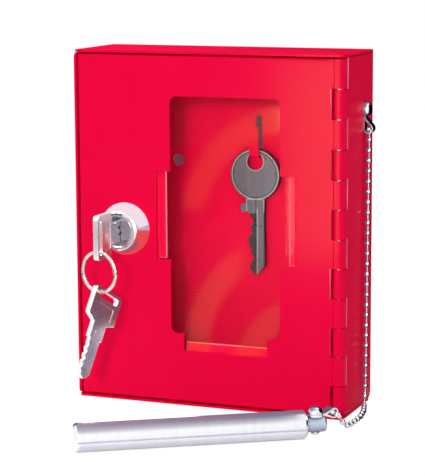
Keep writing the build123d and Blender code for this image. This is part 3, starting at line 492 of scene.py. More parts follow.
@dataclass(frozen=True)
class ClearGlass:
    """A clear pane of slight thickness with an anti-glare surface and a few soft curved streaks of painted
    reflection: there its coat mirrors the lights before the door and tints the view through it orange.
    """

    name: str = "window_glass"
    colour: Colour = (0.95, 0.96, 0.955)
    index: float = 1.12
    gain: float = 0.37
    painted_streak_tint: Colour = (1.0, 0.65, 0.35)
    # curved streaks of painted reflection, each part of a ring with its fade
    smears: tuple[Smear, ...] = (
        Smear((40.0 * MM, 77.0 * MM), 47.0 * MM, 5.6 * MM, "Z", (80.0 * MM, 90.0 * MM)),
        Smear((41.0 * MM, 25.0 * MM), 46.0 * MM, 5.8 * MM, "X", (20.0 * MM, 10.0 * MM)),
        Smear((57.0 * MM, 6.0 * MM), 43.0 * MM, 6.0 * MM, "X", (40.0 * MM, 28.0 * MM)),
    )

    def material(self, effects: SharedEffects) -> bpy.types.Material:
        """Builds the glass.

        Args:
            effects: the shared groups.

        Returns:
            The new material.
        """
        material, sheet, own = blank_material(self.name)
        place = sheet.add("ShaderNodeSeparateXYZ", {0: own})
        # each streak raises the coat, which mirrors the warm card and tints the pane orange: painted
        # reflection
        coat = 0.0
        for smear in self.smears:
            coat = sheet.math("MAXIMUM", coat, smear.mask(sheet, place))
        haze = sheet.effect(effects.haze, {"Vector": own, "Smear": 30.0, "Low": 0.0, "High": 0.03})
        skin = sheet.add(
            "ShaderNodeBsdfPrincipled",
            {
                "Base Color": opaque(self.colour),
                "Roughness": haze.outputs[0],
                "IOR": self.index,
                "Transmission Weight": 1.0,
                "Coat Weight": sheet.math("MULTIPLY", coat, self.gain),
                "Coat Roughness": 0.2,
                "Coat Tint": opaque(self.painted_streak_tint),
            },
        )
        lamp_ray = sheet.add("ShaderNodeLightPath").outputs["Is Shadow Ray"]
        clear = sheet.add("ShaderNodeBsdfTransparent", {"Color": opaque(self.colour)})
        pane = sheet.add("ShaderNodeMixShader", {0: lamp_ray, 1: skin.outputs[0], 2: clear.outputs[0]})
        sheet.add("ShaderNodeOutputMaterial", {"Surface": pane.outputs[0]})
        return material


@dataclass(frozen=True)
class EdgeFinish:
    """Rounding of a piece's sharp outside edges, where the edges beside them have room, in widths, for it."""

    width: float = 0.12 * MM
    steps: int = 2
    angle: float = math.radians(34)
    room: float = 2.4


def new_object(name: str, mesh: bpy.types.Mesh) -> bpy.types.Object:
    """Puts a mesh into the scene at the origin.

    Args:
        name: the object's name.
        mesh: its mesh, with its place in it.

    Returns:
        The new object.
    """
    piece = bpy.data.objects.new(name, mesh)
    bpy.context.scene.collection.objects.link(piece)
    return piece


def frozen(piece: bpy.types.Object, name: str) -> bpy.types.Object:
    """Replaces an object by a plain mesh of what it shows.

    Args:
        piece: the object, with its modifiers.
        name: the new object's name.

    Returns:
        The new object, with no modifiers.
    """
    evaluated = piece.evaluated_get(bpy.context.evaluated_depsgraph_get())
    mesh = bpy.data.meshes.new_from_object(evaluated)
    bpy.data.objects.remove(piece)
    mesh.name = name
    return new_object(name, mesh)


def node_shape(node: str) -> bpy.types.Mesh:
    """A copy of a CAD node's mesh with its corners merged and its flat faces joined.

    Args:
        node: the node's name.

    Returns:
        The copy, with edges marked sharp where they are.
    """
    mesh = bpy.data.meshes.new(node + "_shape")
    shape = bmesh.new()
    shape.from_mesh(frame["nodes"][node].data)
    bmesh.ops.remove_doubles(shape, verts=shape.verts, dist=MERGED)
    bmesh.ops.dissolve_limit(shape, angle_limit=LEVEL, verts=shape.verts, edges=shape.edges)
    shape.to_mesh(mesh)
    shape.free()
    own_normals = mesh.attributes.get("custom_normal")
    if own_normals:
        mesh.attributes.remove(own_normals)
    mesh.polygons.foreach_set("use_smooth", [True] * len(mesh.polygons))
    mesh.set_sharp_from_angle(angle=EdgeFinish().angle)
    return mesh


def weigh_edges(mesh: bpy.types.Mesh, edge: EdgeFinish) -> None:
    """Marks the sharp outside edges to round: those that meet no edge too short for the rounding.

    Args:
        mesh: the mesh to mark.
        edge: the rounding.
    """
    shape = bmesh.new()
    shape.from_mesh(mesh)
    weights = []
    for line in shape.edges:
        corner = len(line.link_faces) == 2 and line.calc_face_angle_signed(0.0) > edge.angle
        beside = (other for end in line.verts for other in end.link_edges)
        room = all(other.calc_length() > edge.room * edge.width for other in beside)
        weights.append(1.0 if corner and room else 0.0)
    shape.free()
    marks = mesh.attributes.new("bevel_weight_edge", "FLOAT", "EDGE")
    marks.data.foreach_set("value", weights)


def dressed_node(
    node: str,
    name: str,
    material: bpy.types.Material,
    edge: EdgeFinish | None = None,
    edge_material: bpy.types.Material | None = None,
) -> bpy.types.Object:
    """Makes the finished piece for a CAD node whose shape is right, with its edges softened where asked.

    Args:
        node: the CAD node it stands for.
        name: the piece's name.
        material: its finish.
        edge: how its edges are rounded, or none.
        edge_material: the finish on the rounded edges, where it differs.

    Returns:
        The finished piece.
    """
    mesh = node_shape(node) if edge else frame["nodes"][node].data.copy()
    mesh.name = name
    mesh.materials.clear()
    mesh.materials.append(material)
    if edge_material:
        mesh.materials.append(edge_material)
    piece = new_object(name, mesh)
    if edge:
        weigh_edges(mesh, edge)
        bevel = piece.modifiers.new("edge", "BEVEL")
        bevel.limit_method = "WEIGHT"
        bevel.width = edge.width
        bevel.segments = edge.steps
        bevel.use_clamp_overlap = True
        bevel.harden_normals = True
        bevel.material = 1 if edge_material else -1
        piece = frozen(piece, name)
    body = frame["nodes"][node]["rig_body"]
    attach(piece, body)
    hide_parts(node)
    log.info("%s: %d faces, for %s on %s", name, len(piece.data.polygons), node, body)
    return piece


def repaint_node(node: str, material: bpy.types.Material) -> None:
    """Gives a carried-over CAD node its finish.

    Args:
        node: the node's name.
        material: its finish.
    """
    slots = frame["nodes"][node].material_slots
    for slot in slots:
        slot.link = "OBJECT"
        slot.material = material
    log.info("%s: carried over, %s", node, material.name)


class GrownPiece:
    """A geometry node tree with named inputs, run on a carrier mesh."""

    def __init__(self, name: str, measures: tuple[str, ...], count: str) -> None:
        """Starts the tree.

        Args:
            name: the tree's name.
            measures: names of the inputs that are lengths or shares.
            count: name of the input that is a whole number.
        """
        self.tree = bpy.data.node_groups.new(name, "GeometryNodeTree")
        self.sheet = NodeSheet(self.tree)
        kinds = {"Geometry": "Geometry", count: "Int", "Material": "Material"}
        for label, kind in (kinds | dict.fromkeys(measures, "Float")).items():
            self.tree.interface.new_socket(name=label, in_out="INPUT", socket_type="NodeSocket" + kind)
        self.tree.interface.new_socket(name="Geometry", in_out="OUTPUT", socket_type="NodeSocketGeometry")
        self.given = self.sheet.add("NodeGroupInput").outputs

    def close(self, shape: bpy.types.NodeSocket) -> None:
        """Ends the tree: real faces, shaded smooth, in the given material.

        Args:
            shape: the output that holds the finished shape.
        """
        real = self.sheet.add("GeometryNodeRealizeInstances", {0: shape})
        smooth = self.sheet.add("GeometryNodeSetShadeSmooth", {0: real.outputs[0]})
        finish = {0: smooth.outputs[0], "Material": self.given["Material"]}
        painted = self.sheet.add("GeometryNodeSetMaterial", finish)
        self.sheet.add("NodeGroupOutput", {0: painted.outputs[0]})

    def grow(self, name: str, carrier: bpy.types.Mesh, values: dict[str, Any]) -> bpy.types.Object:
        """Runs the tree.

        Args:
            name: the new piece's name.
            carrier: the mesh that the tree starts from.
            values: a value for each named input.

        Returns:
            The plain mesh that it makes.
        """
        piece = new_object(name + "_carrier", carrier)
        modifier = piece.modifiers.new("grow", "NODES")
        modifier.node_group = self.tree
        for item in self.tree.interface.items_tree:
            if item.item_type == "SOCKET" and item.in_out == "INPUT" and item.name in values:
                modifier[item.identifier] = values[item.name]
        return frozen(piece, name)


def path_mesh(name: str, points: list[Vector]) -> bpy.types.Mesh:
    """Makes one open run of edges.

    Args:
        name: the mesh's name.
        points: the points that it runs through, in order.

    Returns:
        The mesh.
    """
    mesh = bpy.data.meshes.new(name)
    mesh.from_pydata(points, [(i, i + 1) for i in range(len(points) - 1)], [])
    return mesh


def middle(node: str) -> Vector:
    """Centre of a CAD node's box."""
    low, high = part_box(node)
    return (low + high) / 2


@dataclass
class Casing:
    """The folded case, its door, and what is fixed to them."""

    effects: SharedEffects
    zinc: bpy.types.Material
    edge: EdgeFinish = field(default_factory=lambda: EdgeFinish(width=0.36 * MM, steps=3))
    glass_edge: EdgeFinish = field(default_factory=lambda: EdgeFinish(width=0.2 * MM))

    def build(self) -> None:
        """Dresses the sheet-metal pieces, the hinge pin and the pane."""
        paint = PowderCoat().material(self.effects)
        # The rounded edges of the case and the door take a lighter pink paint with a strong sheen: the
        # lighter colour is a painted highlight along every bevel.
        edge_highlight_coat = PowderCoat(
            "red_edge_painted_highlight", (0.92, 0.20, 0.27), (0.88, 0.15, 0.22),
            sheen=1.0, tint=(1.0, 0.9, 0.95), peel=0.5 * MM, low=0.2, high=0.3,
        )
        rim = edge_highlight_coat.material(self.effects)
        glass = ClearGlass().material(self.effects)
        dressed_node("case", "case_shell", paint, self.edge, rim)
        dressed_node("door_panel", "door_leaf", paint, self.edge, rim)
        dressed_node("glass_pane", "window_pane", glass, self.glass_edge)
        dressed_node("strike_plate", "strike_angle", self.zinc, self.edge)
        repaint_node("hinge_pin", self.zinc)


@dataclass
class Lock:
    """The cam lock, without its key."""

    effects: SharedEffects
    zinc: bpy.types.Material
    edge: EdgeFinish = field(default_factory=EdgeFinish)

    def build(self) -> None:
        """Dresses the lock's pieces, from the collar back to the cam."""
        centre = middle("lock_housing")
        axis = WorkAxis((centre.x, 0.0, centre.z), (0.0, 1.0, 0.0))
        chrome = Metal(
            "lock_chrome", (0.92, 0.89, 0.92), (0.86, 0.83, 0.86), 0.14, 0.18,
            Working.TURNED, axis, 0.18 * MM, 0.0003 * MM,
        )
        face = Metal(
            "plug_chrome", (0.44, 0.46, 0.52), (0.35, 0.37, 0.42), 0.16, 0.26,
            Working.TURNED, axis, 0.14 * MM, 0.003 * MM,
        )
        brass = Metal("wafer_brass", (0.72, 0.50, 0.20), (0.60, 0.40, 0.15), 0.25, 0.4)
        dressed_node("lock_housing", "lock_collar", chrome.material(self.effects))
        dressed_node("lock_plug", "lock_core", face.material(self.effects), self.edge)
        dressed_node("lock_nut", "lock_hexagon_nut", self.zinc, self.edge)
        dressed_node("cam", "lock_cam", self.zinc, self.edge)
        dressed_node("cam_screw", "lock_cam_screw", self.zinc)
        dressed_node("tumbler_wafers", "lock_wafers", brass.material(self.effects))


@dataclass
class Keys:
    """The key in the lock, the split ring, the spare key and the key on the hook."""

    effects: SharedEffects
    edge: EdgeFinish = field(default_factory=lambda: EdgeFinish(width=0.16 * MM))
    wire: float = 0.9 * MM
    wire_depth: float = 1.3 * MM
    ring_turn: float = math.radians(12.7)
    coils: float = 2.0
    steps: int = 96
    bow_radius: float = 11.3 * MM
    hole_up: float = 5.6 * MM

    def build(self) -> None:
        """Dresses the three keys and winds the ring."""
        # The nickel keys take a near-white colour on the faces that turn from their flat sides: a painted
        # highlight along their edges.
        nickel = Metal(
            "key_nickel", (0.64, 0.52, 0.56), (0.54, 0.43, 0.47), 0.22, 0.30,
            Working.GROUND, WorkAxis((0.0, 0.0, 0.0), (0.0, 1.0, 0.0)), 0.12 * MM, 0.004 * MM,
            edge=(0.97, 0.95, 0.95), face=(1.0, 0.0, 0.0),
        )
        turned = (math.cos(self.ring_turn), -math.sin(self.ring_turn), 0.0)
        spare = replace(
            nickel, name="spare_nickel", colour=(0.62, 0.60, 0.64), deep=(0.54, 0.52, 0.56), face=turned
        )
        # The hung key takes a near-black colour on the faces that turn from its flat sides, painted shade,
        # and its bands paint highlight lines and shade on its face.
        satin = Metal(
            "hung_key_nickel", (0.185, 0.17, 0.215), (0.15, 0.135, 0.175), 0.26, 0.36,
            Working.GROUND, WorkAxis((0.0, 0.0, 0.0), (0.0, 0.0, 1.0)), 0.15 * MM, 0.006 * MM,
            edge=(0.05, 0.03, 0.04), bands=self.hung_bands(),
        )
        dressed_node("lock_key", "key_in_lock", nickel.material(self.effects), self.edge)
        dressed_node("spare_key", "key_on_ring", spare.material(self.effects), self.edge)
        dressed_node("hung_key", "key_on_hook", satin.material(self.effects), self.edge)
        self.ring()

    def hung_bands(self) -> tuple[FaceBand, ...]:
        """Painted highlight lines on the raised rim, hole, neck frame and blade, painted dark lines at the
        bow's outline and the blade's right edge, and painted shade inside the rim and over the cut half of
        the blade.

        Returns:
            The bands, in the order in which they are laid.
        """
        low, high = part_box("hung_key")
        x, z = high.x - self.bow_radius, high.z - self.bow_radius
        # light lines are painted highlight; dark lines and the shaded tones are painted shade
        light, dark = (0.46, 0.43, 0.45), (0.05, 0.035, 0.045)
        plain, painted_shade = (0.165, 0.152, 0.19), (0.07, 0.055, 0.065)
        foot = low.z - z
        hoops = (
            (0.0, self.bow_radius - 0.1 * MM, 0.2 * MM, dark),
            (0.0, self.bow_radius - 0.7 * MM, 0.1 * MM, light),
            (0.0, self.bow_radius - 1.3 * MM, 0.1 * MM, painted_shade),
            (self.hole_up, 3.9 * MM, 0.07 * MM, light),
        )
        boxes = (
            (0.0, -14.5 * MM, 4.0 * MM, 3.9 * MM, light),
            (0.0, -15.0 * MM, 3.7 * MM, 4.0 * MM, plain),
            (-2.4 * MM, foot / 2 - 9.0 * MM, 2.8 * MM, -foot / 2 - 8.0 * MM, painted_shade),
            (0.8 * MM, foot / 2 - 7.0 * MM, 0.1 * MM, -foot / 2 - 8.0 * MM, light),
            (4.1 * MM, foot / 2 - 7.0 * MM, 0.15 * MM, -foot / 2 - 9.0 * MM, dark),
        )
        return (
            *(FaceBand((x, z + up), (radius, half), colour, hoop=True) for up, radius, half, colour in hoops),
            *(FaceBand((x + side, z + up), (wide, high), colour) for side, up, wide, high, colour in boxes),
        )

    def ring(self) -> None:
        """Winds the split ring: one flattened wire, twice round."""
        tree = GrownPiece("split_ring", ("Radius", "Wire", "Depth", "Coils", "Rise"), "Steps")
        sheet, given = tree.sheet, tree.given
        spiral = sheet.add(
            "GeometryNodeCurveSpiral",
            {
                "Resolution": given["Steps"],
                "Rotations": given["Coils"],
                "Start Radius": given["Radius"],
                "End Radius": given["Radius"],
                "Height": given["Rise"],
            },
        )
        upright = sheet.add("GeometryNodeSetCurveNormal", {"Curve": spiral.outputs[0]}, mode="Z_UP")
        section = sheet.add("GeometryNodeCurvePrimitiveCircle", {"Resolution": 20, "Radius": 0.5})
        size = sheet.add("ShaderNodeCombineXYZ", {"X": given["Depth"], "Y": given["Wire"], "Z": 1.0})
        scaled = {"Geometry": section.outputs[0], "Scale": size.outputs[0]}
        flat_wire = sheet.add("GeometryNodeTransform", scaled)
        sweep = {"Curve": upright.outputs[0], "Profile Curve": flat_wire.outputs[0], "Fill Caps": True}
        wound = sheet.add("GeometryNodeCurveToMesh", sweep)
        tree.close(wound.outputs[0])
        low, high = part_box("key_ring")
        radius = (high.z - low.z - self.wire_depth) / 2
        # The wire darkens towards its outline: the rim colour is painted shade.
        nickel = Metal(
            "ring_nickel", (0.92, 0.88, 0.82), (0.84, 0.80, 0.74), 0.08, 0.14, rim=(0.10, 0.05, 0.06)
        )
        ring = tree.grow(
            "split_ring",
            path_mesh("ring_carrier", [Vector((0, 0, 0)), Vector((0, 0, self.wire))]),
            {
                "Radius": radius,
                "Wire": self.wire,
                "Depth": self.wire_depth,
                "Coils": self.coils,
                "Rise": self.wire * self.coils / 2,
                "Steps": self.steps,
                "Material": nickel.material(self.effects),
            },
        )
        ring.data.transform(Matrix.Translation((0, 0, -self.wire * self.coils / 4)))
        stood = Matrix.Rotation(-self.ring_turn, 4, "Z") @ Matrix.Rotation(math.radians(90), 4, "X")
        ring.data.transform(Matrix.Translation(middle("key_ring")) @ stood)
        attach(ring, "ring")
        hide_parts("key_ring")
        log.info("split_ring: %d faces", len(ring.data.polygons))


def island_centres(node: str) -> list[Vector]:
    """Middle of each separate solid in a CAD node.

    Args:
        node: the node's name.

    Returns:
        The middles, in the mesh's own order.
    """
    shape = bmesh.new()
    shape.from_mesh(frame["nodes"][node].data)
    bmesh.ops.remove_doubles(shape, verts=shape.verts, dist=MERGED)
    unseen = set(shape.verts)
    centres = []
    for start in shape.verts:
        if start not in unseen:
            continue
        unseen.discard(start)
        front, island = [start], [start.co.copy()]
        while front:
            for edge in front.pop().link_edges:
                for vert in edge.verts:
                    if vert in unseen:
                        unseen.discard(vert)
                        front.append(vert)
                        island.append(vert.co.copy())
        low = Vector(min(p[i] for p in island) for i in range(3))
        high = Vector(max(p[i] for p in island) for i in range(3))
        centres.append((low + high) / 2)
    shape.free()
    return centres


def in_chain_order(centres: list[Vector], start: Vector) -> list[Vector]:
    """Sorts a chain's beads, each time to the nearest one left.

    Args:
        centres: the beads' middles.
        start: the point that the chain begins at.

    Returns:
        The middles in the chain's order.
    """
    left, ordered = list(centres), []
    here = start
    while left:
        here = min(left, key=lambda point: (point - here).length)
        left.remove(here)
        ordered.append(here)
    return ordered


@dataclass
class Chain:
    """The ball chain in its two lengths, its end fittings and their rivets."""

    effects: SharedEffects
    bead: float = 2.4 * MM
    pin: float = 0.7 * MM
    flat: float = 0.86
    pin_start: float = 0.52
    edge: EdgeFinish = field(default_factory=lambda: EdgeFinish(width=0.1 * MM))

    def build(self) -> None:
        """Threads both lengths of chain and dresses the fittings."""
        # The beads and the fittings darken towards their outlines: the rim colour is painted shade.
        chrome = Metal(
            "chain_chrome", (0.92, 0.92, 0.94), (0.84, 0.84, 0.88), 0.08, 0.16, rim=(0.10, 0.09, 0.15)
        ).material(self.effects)
        fitting = Metal(
            "fitting_chrome", (0.94, 0.94, 0.96), (0.86, 0.86, 0.90), 0.14, 0.24, rim=(0.12, 0.10, 0.17)
        ).material(self.effects)
        tree = self.bead_tree()
        hanging = in_chain_order(island_centres("chain_beads"), middle("upper_connector"))
        floor = in_chain_order(island_centres("tail_beads"), hanging[-1])
        first_pin = hanging[-1] + (floor[0] - hanging[-1]).normalized() * self.bead * self.pin_start
        self.thread(tree, "hanging_chain", hanging, 0, chrome, ("chain_beads", "chain_links"))
        self.thread(tree, "floor_chain", [first_pin, *floor], 1, chrome, ("tail_beads", "tail_links"))
        dressed_node("upper_connector", "upper_strap", fitting, self.edge)
        dressed_node("lower_connector", "lower_strap", fitting, self.edge)
        dressed_node("chain_rivet", "wall_rivet", fitting)
        dressed_node("stud_rivet", "hammer_rivet", fitting)

    @staticmethod
    def bead_tree() -> GrownPiece:
        """Builds the tree that threads beads on a pinned path, each with a dimple where the pin goes in.

        Returns:
            The tree, ready to grow a length of chain.
        """
        tree = GrownPiece("ball_chain", ("Bead", "Pin", "Flat"), "First")
        sheet, given = tree.sheet, tree.given
        radius = sheet.math("DIVIDE", given["Bead"], 2.0)
        ball = sheet.add("GeometryNodeMeshUVSphere", {"Segments": 26, "Rings": 18, "Radius": radius})
        place = sheet.add("ShaderNodeSeparateXYZ", {0: sheet.add("GeometryNodeInputPosition").outputs[0]})
        brim = sheet.math("MULTIPLY", radius, given["Flat"])
        height = sheet.math("ABSOLUTE", place.outputs["Z"])
        over = sheet.math("MAXIMUM", sheet.math("SUBTRACT", height, brim), 0.0)
        inward = sheet.math("MULTIPLY", sheet.math("SIGN", place.outputs["Z"]), -2.2)
        shift = sheet.add("ShaderNodeCombineXYZ", {"Z": sheet.math("MULTIPLY", over, inward)})
        dimpled = sheet.add("GeometryNodeSetPosition", {0: ball.outputs[0], "Offset": shift.outputs[0]})
        line = sheet.add("GeometryNodeMeshToCurve", {0: given["Geometry"]})
        stations = sheet.add("GeometryNodeCurveToPoints", {0: line.outputs[0]}, mode="EVALUATED")
        index = sheet.add("GeometryNodeInputIndex").outputs[0]
        threaded = sheet.add("FunctionNodeCompare", data_type="INT", operation="GREATER_EQUAL")
        sheet.tree.links.new(index, threaded.inputs[2])
        sheet.tree.links.new(given["First"], threaded.inputs[3])
        beads = sheet.add(
            "GeometryNodeInstanceOnPoints",
            {
                "Points": stations.outputs["Points"],
                "Selection": threaded.outputs[0],
                "Instance": dimpled.outputs[0],
                "Rotation": stations.outputs["Rotation"],
            },
        )
        pin_radius = sheet.math("DIVIDE", given["Pin"], 2.0)
        section = sheet.add("GeometryNodeCurvePrimitiveCircle", {"Resolution": 12, "Radius": pin_radius})
        sweep = {"Curve": line.outputs[0], "Profile Curve": section.outputs[0], "Fill Caps": True}
        pins = sheet.add("GeometryNodeCurveToMesh", sweep)
        joined = sheet.add("GeometryNodeJoinGeometry")
        sheet.tree.links.new(beads.outputs[0], joined.inputs[0])
        sheet.tree.links.new(pins.outputs[0], joined.inputs[0])
        tree.close(joined.outputs[0])
        return tree

    def thread(
        self,
        tree: GrownPiece,
        name: str,
        points: list[Vector],
        first: int,
        material: bpy.types.Material,
        nodes: tuple[str, str],
    ) -> None:
        """Threads one length of chain.

        Args:
            tree: the chain's tree.
            name: the piece's name.
            points: bead centres in order.
            first: the first point with a bead.
            material: the chain's finish.
            nodes: the CAD nodes of its beads and of its links.
        """
        piece = tree.grow(
            name,
            path_mesh(name + "_path", points),
            {"Bead": self.bead, "Pin": self.pin, "Flat": self.flat, "First": first, "Material": material},
        )
        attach(piece, frame["nodes"][nodes[0]]["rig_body"])
        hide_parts(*nodes)
        log.info("%s: %d beads, %d faces", name, len(points) - first, len(piece.data.polygons))


@dataclass
class Hammer:
    """The round hammer and the stud that its fitting turns on."""

    effects: SharedEffects
    zinc: bpy.types.Material

    def build(self) -> None:
        """Dresses the rod and the stud."""
        axis = WorkAxis(tuple(middle("hammer_rod")), (math.cos(ROD_TURN), math.sin(ROD_TURN), 0.0))
        bright = Metal(
            "rod_aluminium", (0.93, 0.94, 0.97), (0.89, 0.90, 0.93), 0.22, 0.26,
            Working.TURNED, axis, 0.25 * MM, 0.0008 * MM,
        )
        dressed_node("hammer_rod", "hammer_shaft", bright.material(self.effects))
        dressed_node("hammer_stud", "hammer_end_stud", self.zinc)


@dataclass(frozen=True)
class Camera:
    """The photograph's viewpoint."""

    place: Point = (0.288755, -0.727698, 0.199079)
    aim: Point = (-0.005254, 0.0, 0.069303)
    roll: float = math.radians(-0.309)
    lens: float = 140.49
    sensor: float = 36.0

    def build(self) -> None:
        """Makes the camera and takes it into use."""
        data = bpy.data.cameras.new("camera")
        data.sensor_fit = "AUTO"
        data.sensor_width = self.sensor
        data.lens = self.lens
        data.clip_start, data.clip_end = 0.01, 100.0
        camera = bpy.data.objects.new("camera", data)
        camera.location = self.place
        camera.rotation_mode = "QUATERNION"
        look = (Vector(self.aim) - Vector(self.place)).to_track_quat("-Z", "Y")
        camera.rotation_quaternion = look @ Quaternion((0, 0, 1), self.roll)
        bpy.context.scene.collection.objects.link(camera)
        bpy.context.scene.camera = camera


@dataclass(frozen=True)
class Softbox:
    """A rectangular lamp aimed at a point."""

    name: str
    place: Point
    aim: Point
    width: float
    height: float
    power: float

    def build(self) -> None:
        """Hangs the lamp."""
        data = bpy.data.lights.new(self.name, "AREA")
        data.shape = "RECTANGLE"
        data.size, data.size_y = self.width, self.height
        data.energy = self.power
        lamp = bpy.data.objects.new(self.name, data)
        lamp.location = self.place
        lamp.rotation_mode = "QUATERNION"
        lamp.rotation_quaternion = (Vector(self.aim) - Vector(self.place)).to_track_quat("-Z", "Y")
        bpy.context.scene.collection.objects.link(lamp)


@dataclass(frozen=True)
class Card:
    """A flat card in millimetres, seen by one kind of ray, that casts no light or shade."""

    name: str
    corners: Corners
    colour: Colour
    strength: float = 1.0
    glossy: bool = True
    one_sided: bool = False
    fade: tuple[Point, Point] | None = None

    def build(self) -> None:
        """Stands the card in place, turning white from the first to the second point of its fade."""
        mesh = bpy.data.meshes.new(self.name)
        mesh.from_pydata([tuple(x * MM for x in corner) for corner in self.corners], [], [(0, 1, 2, 3)])
        material, sheet, place = blank_material(self.name + "_card")
        colour = opaque(self.colour)
        if self.fade:
            start, end = (Vector(point) * MM for point in self.fade)
            along = (end - start).normalized()
            reach = sheet.add("ShaderNodeVectorMath", {0: place, 1: along}, operation="DOT_PRODUCT")
            share = sheet.spread(reach.outputs["Value"], (start.dot(along), end.dot(along)))
            colour = sheet.ramp(share, [(0.0, self.colour), (1.0, WHITE)])
        face = sheet.add("ShaderNodeEmission", {"Color": colour, "Strength": self.strength}).outputs[0]
        if self.one_sided:
            back = sheet.add("ShaderNodeNewGeometry").outputs["Backfacing"]
            clear = sheet.add("ShaderNodeBsdfTransparent").outputs[0]
            face = sheet.add("ShaderNodeMixShader", {0: back, 1: face, 2: clear}).outputs[0]
        sheet.add("ShaderNodeOutputMaterial", {"Surface": face})
        mesh.materials.append(material)
        card = new_object(self.name, mesh)
        card.visible_camera = card.visible_diffuse = card.visible_shadow = False
        card.visible_glossy = self.glossy
        card.visible_transmission = not self.glossy


def upright(x0: float, x1: float, z0: float, z1: float, y: float) -> Corners:
    """Corners of a card that faces the front."""
    return ((x0, y, z0), (x1, y, z0), (x1, y, z1), (x0, y, z1))


def sideways(x: float, y0: float, y1: float, z0: float, z1: float) -> Corners:
    """Corners of a card that faces the right, or the left where y0 is the greater."""
    return ((x, y0, z0), (x, y1, z0), (x, y1, z1), (x, y0, z1))


def beside_rod(along: float, ahead: float, z: float) -> Point:
    """A point near the hammer's rod, in millimetres.

    Args:
        along: distance along the rod from its middle.
        ahead: distance from the rod's axis, towards the front.
        z: height over the table.

    Returns:
        The point.
    """
    centre = middle("hammer_rod") / MM
    cosine, sine = math.cos(ROD_TURN), math.sin(ROD_TURN)
    return (centre.x + along * cosine + ahead * sine, centre.y + along * sine - ahead * cosine, z)


def level(x0: float, x1: float, y0: float, y1: float, z: float) -> Corners:
    """Corners of a card that lies level."""
    return ((x0, y0, z), (x1, y0, z), (x1, y1, z), (x0, y1, z))


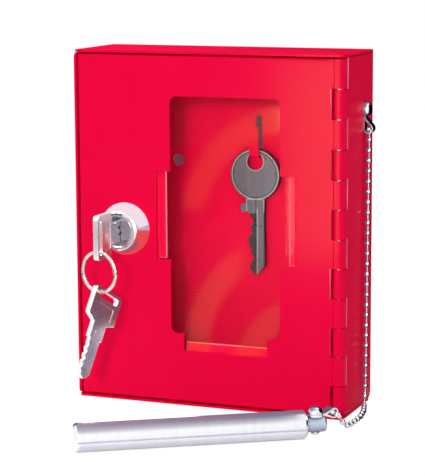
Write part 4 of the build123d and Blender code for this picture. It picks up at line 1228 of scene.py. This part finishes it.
@dataclass
class Studio:
    """A white table in a soft room with two lamps, against a white background."""

    table: float = 3.0
    sunk: float = 0.02 * MM
    room: Colour = (0.67, 0.67, 0.69)
    paper: Colour = (0.93, 0.93, 0.94)
    paper_glow: float = 1.06
    paper_share: float = 0.9
    cards: tuple[Card, ...] = (
        # dark surroundings that the side wall and the rod mirror
        Card("rear_flag", upright(-900.0, 420.0, 0.0, 520.0, 300.0), BLACK),
        Card("side_flag", sideways(420.0, 300.0, -40.0, 0.0, 520.0), BLACK),
        Card("side_mat", level(66.0, 420.0, -20.0, 300.0, 0.02), (0.02, 0.0, 0.01)),
        Card("front_mat", level(-600.0, -190.0, -900.0, -130.0, 0.02), (0.04, 0.04, 0.06)),
        # the warm light, seen only in reflections, that the painted reflection streaks on the pane catch
        Card("warm_card", upright(60.0, 20.0, 60.0, 150.0, -60.0), (1.0, 0.84, 0.48), 16.0, one_sided=True),
        # round the rod: a shade over it that pales towards the front, and flags before the door and the wall
        Card(
            "rod_shade",
            (
                beside_rod(-62.0, -40.0, 42.0),
                beside_rod(50.0, -38.0, 42.0),
                beside_rod(50.0, 130.0, 42.0),
                beside_rod(-62.0, 130.0, 42.0),
            ),
            (0.22, 0.17, 0.27),
            one_sided=True,
            fade=(beside_rod(0.0, -4.0, 42.0), beside_rod(0.0, 55.0, 42.0)),
        ),
        Card("rod_flag", upright(-4.0, 62.0, 0.0, 42.0, -21.0), (0.22, 0.16, 0.24), one_sided=True),
        Card("stud_flag", upright(24.0, 62.0, 42.0, 80.0, -21.0), (0.22, 0.16, 0.24), one_sided=True),
        Card("wall_flag", sideways(60.4, -18.0, 20.0, 0.0, 150.0), (0.16, 0.15, 0.24), one_sided=True),
        Card(
            "rod_line",
            (
                beside_rod(-50.0, 17.0, 0.03),
                beside_rod(48.0, 17.0, 0.03),
                beside_rod(48.0, 11.9, 0.03),
                beside_rod(-50.0, 11.9, 0.03),
            ),
            (0.42, 0.42, 0.56),
        ),
        # just before the door, seen only in reflections: painted reflections for the lock's collar, the ring
        # and the two keys on it
        Card("collar_card", upright(-60.0, -10.0, 77.2, 100.0, -20.2), (1.0, 0.84, 0.90), one_sided=True),
        Card("collar_strip", upright(-60.0, -10.0, 74.4, 77.2, -20.2), (0.50, 0.50, 0.62), one_sided=True),
        Card("collar_low", upright(-60.0, 14.0, 62.0, 74.4, -20.3), (0.86, 0.08, 0.09), one_sided=True),
        Card("key_card", upright(-60.0, -4.0, 34.0, 62.0, -20.6), (0.42, 0.10, 0.16), one_sided=True),
        Card("blade_card", upright(-60.0, -4.0, 2.0, 29.0, -20.6), (0.95, 0.90, 0.95), 1.9, one_sided=True),
        # behind the case's open holes and slot, seen only through the pane: a dark sheet that paints shade
        # into them
        Card("hole_painted_shade", upright(-60.0, 60.0, 0.0, 150.0, 20.5), (0.15, 0.035, 0.065), glossy=False),
    )
    lamps: tuple[Softbox, ...] = (
        Softbox("key_lamp", (0.20, -0.98, 0.29), (0.0, 0.0, 0.08), 0.07, 0.07, 2.65),
        Softbox("top_lamp", (-0.20, 0.0, 0.48), (0.0, 0.0, 0.15), 0.30, 0.30, 1.4),
    )

    def build(self) -> None:
        """Sets the world, the table, the cards and the lamps."""
        self.world()
        self.ground()
        for piece in (*self.cards, *self.lamps):
            piece.build()
        bpy.context.scene.view_settings.view_transform = "Standard"

    def world(self) -> None:
        """White where it is seen, a soft room where it only lights."""
        world = bpy.data.worlds.new("studio")
        world.use_nodes = True
        world.node_tree.nodes.clear()
        sheet = NodeSheet(world.node_tree)
        room = sheet.add("ShaderNodeBackground", {"Color": opaque(self.room), "Strength": 1.0})
        white = sheet.add("ShaderNodeBackground", {"Color": opaque(WHITE), "Strength": 1.0})
        path = sheet.add("ShaderNodeLightPath").outputs
        seen = sheet.math("MAXIMUM", path["Is Camera Ray"], path["Is Transmission Ray"])
        seen = sheet.math("MAXIMUM", seen, path["Is Glossy Ray"])
        both = sheet.add("ShaderNodeMixShader", {0: seen, 1: room.outputs[0], 2: white.outputs[0]})
        sheet.add("ShaderNodeOutputWorld", {"Surface": both.outputs[0]})
        bpy.context.scene.world = world

    def ground(self) -> None:
        """A white table that still takes the object's shadow."""
        half = self.table / 2
        mesh = bpy.data.meshes.new("floor")
        mesh.from_pydata(level(-half, half, -half, half, -self.sunk), [], [(0, 1, 2, 3)])
        material, sheet, _ = blank_material("floor_white")
        matt = sheet.add("ShaderNodeBsdfDiffuse", {"Color": opaque(self.paper)})
        white = sheet.add("ShaderNodeEmission", {"Color": opaque(WHITE), "Strength": self.paper_glow})
        path = sheet.add("ShaderNodeLightPath").outputs
        seen = sheet.math("MAXIMUM", path["Is Camera Ray"], path["Is Transmission Ray"])
        share = sheet.math("MULTIPLY", seen, self.paper_share)
        both = sheet.add("ShaderNodeMixShader", {0: share, 1: matt.outputs[0], 2: white.outputs[0]})
        sheet.add("ShaderNodeOutputMaterial", {"Surface": both.outputs[0]})
        mesh.materials.append(material)
        new_object("floor", mesh)


def main() -> None:
    """Builds every sub-assembly, the studio and the camera."""
    logging.basicConfig(level=logging.INFO, format="%(name)s %(message)s")
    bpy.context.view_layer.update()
    effects = SharedEffects()
    plated = Metal(
        "zinc_plate", (0.56, 0.64, 0.74), (0.47, 0.54, 0.64), 0.3, 0.42, pitch=0.5 * MM, depth=0.01 * MM
    )
    zinc = plated.material(effects)
    Casing(effects, zinc).build()
    Lock(effects, zinc).build()
    Keys(effects).build()
    Chain(effects).build()
    Hammer(effects, zinc).build()
    Studio().build()
    Camera().build()


if __name__ == "__main__":
    main()
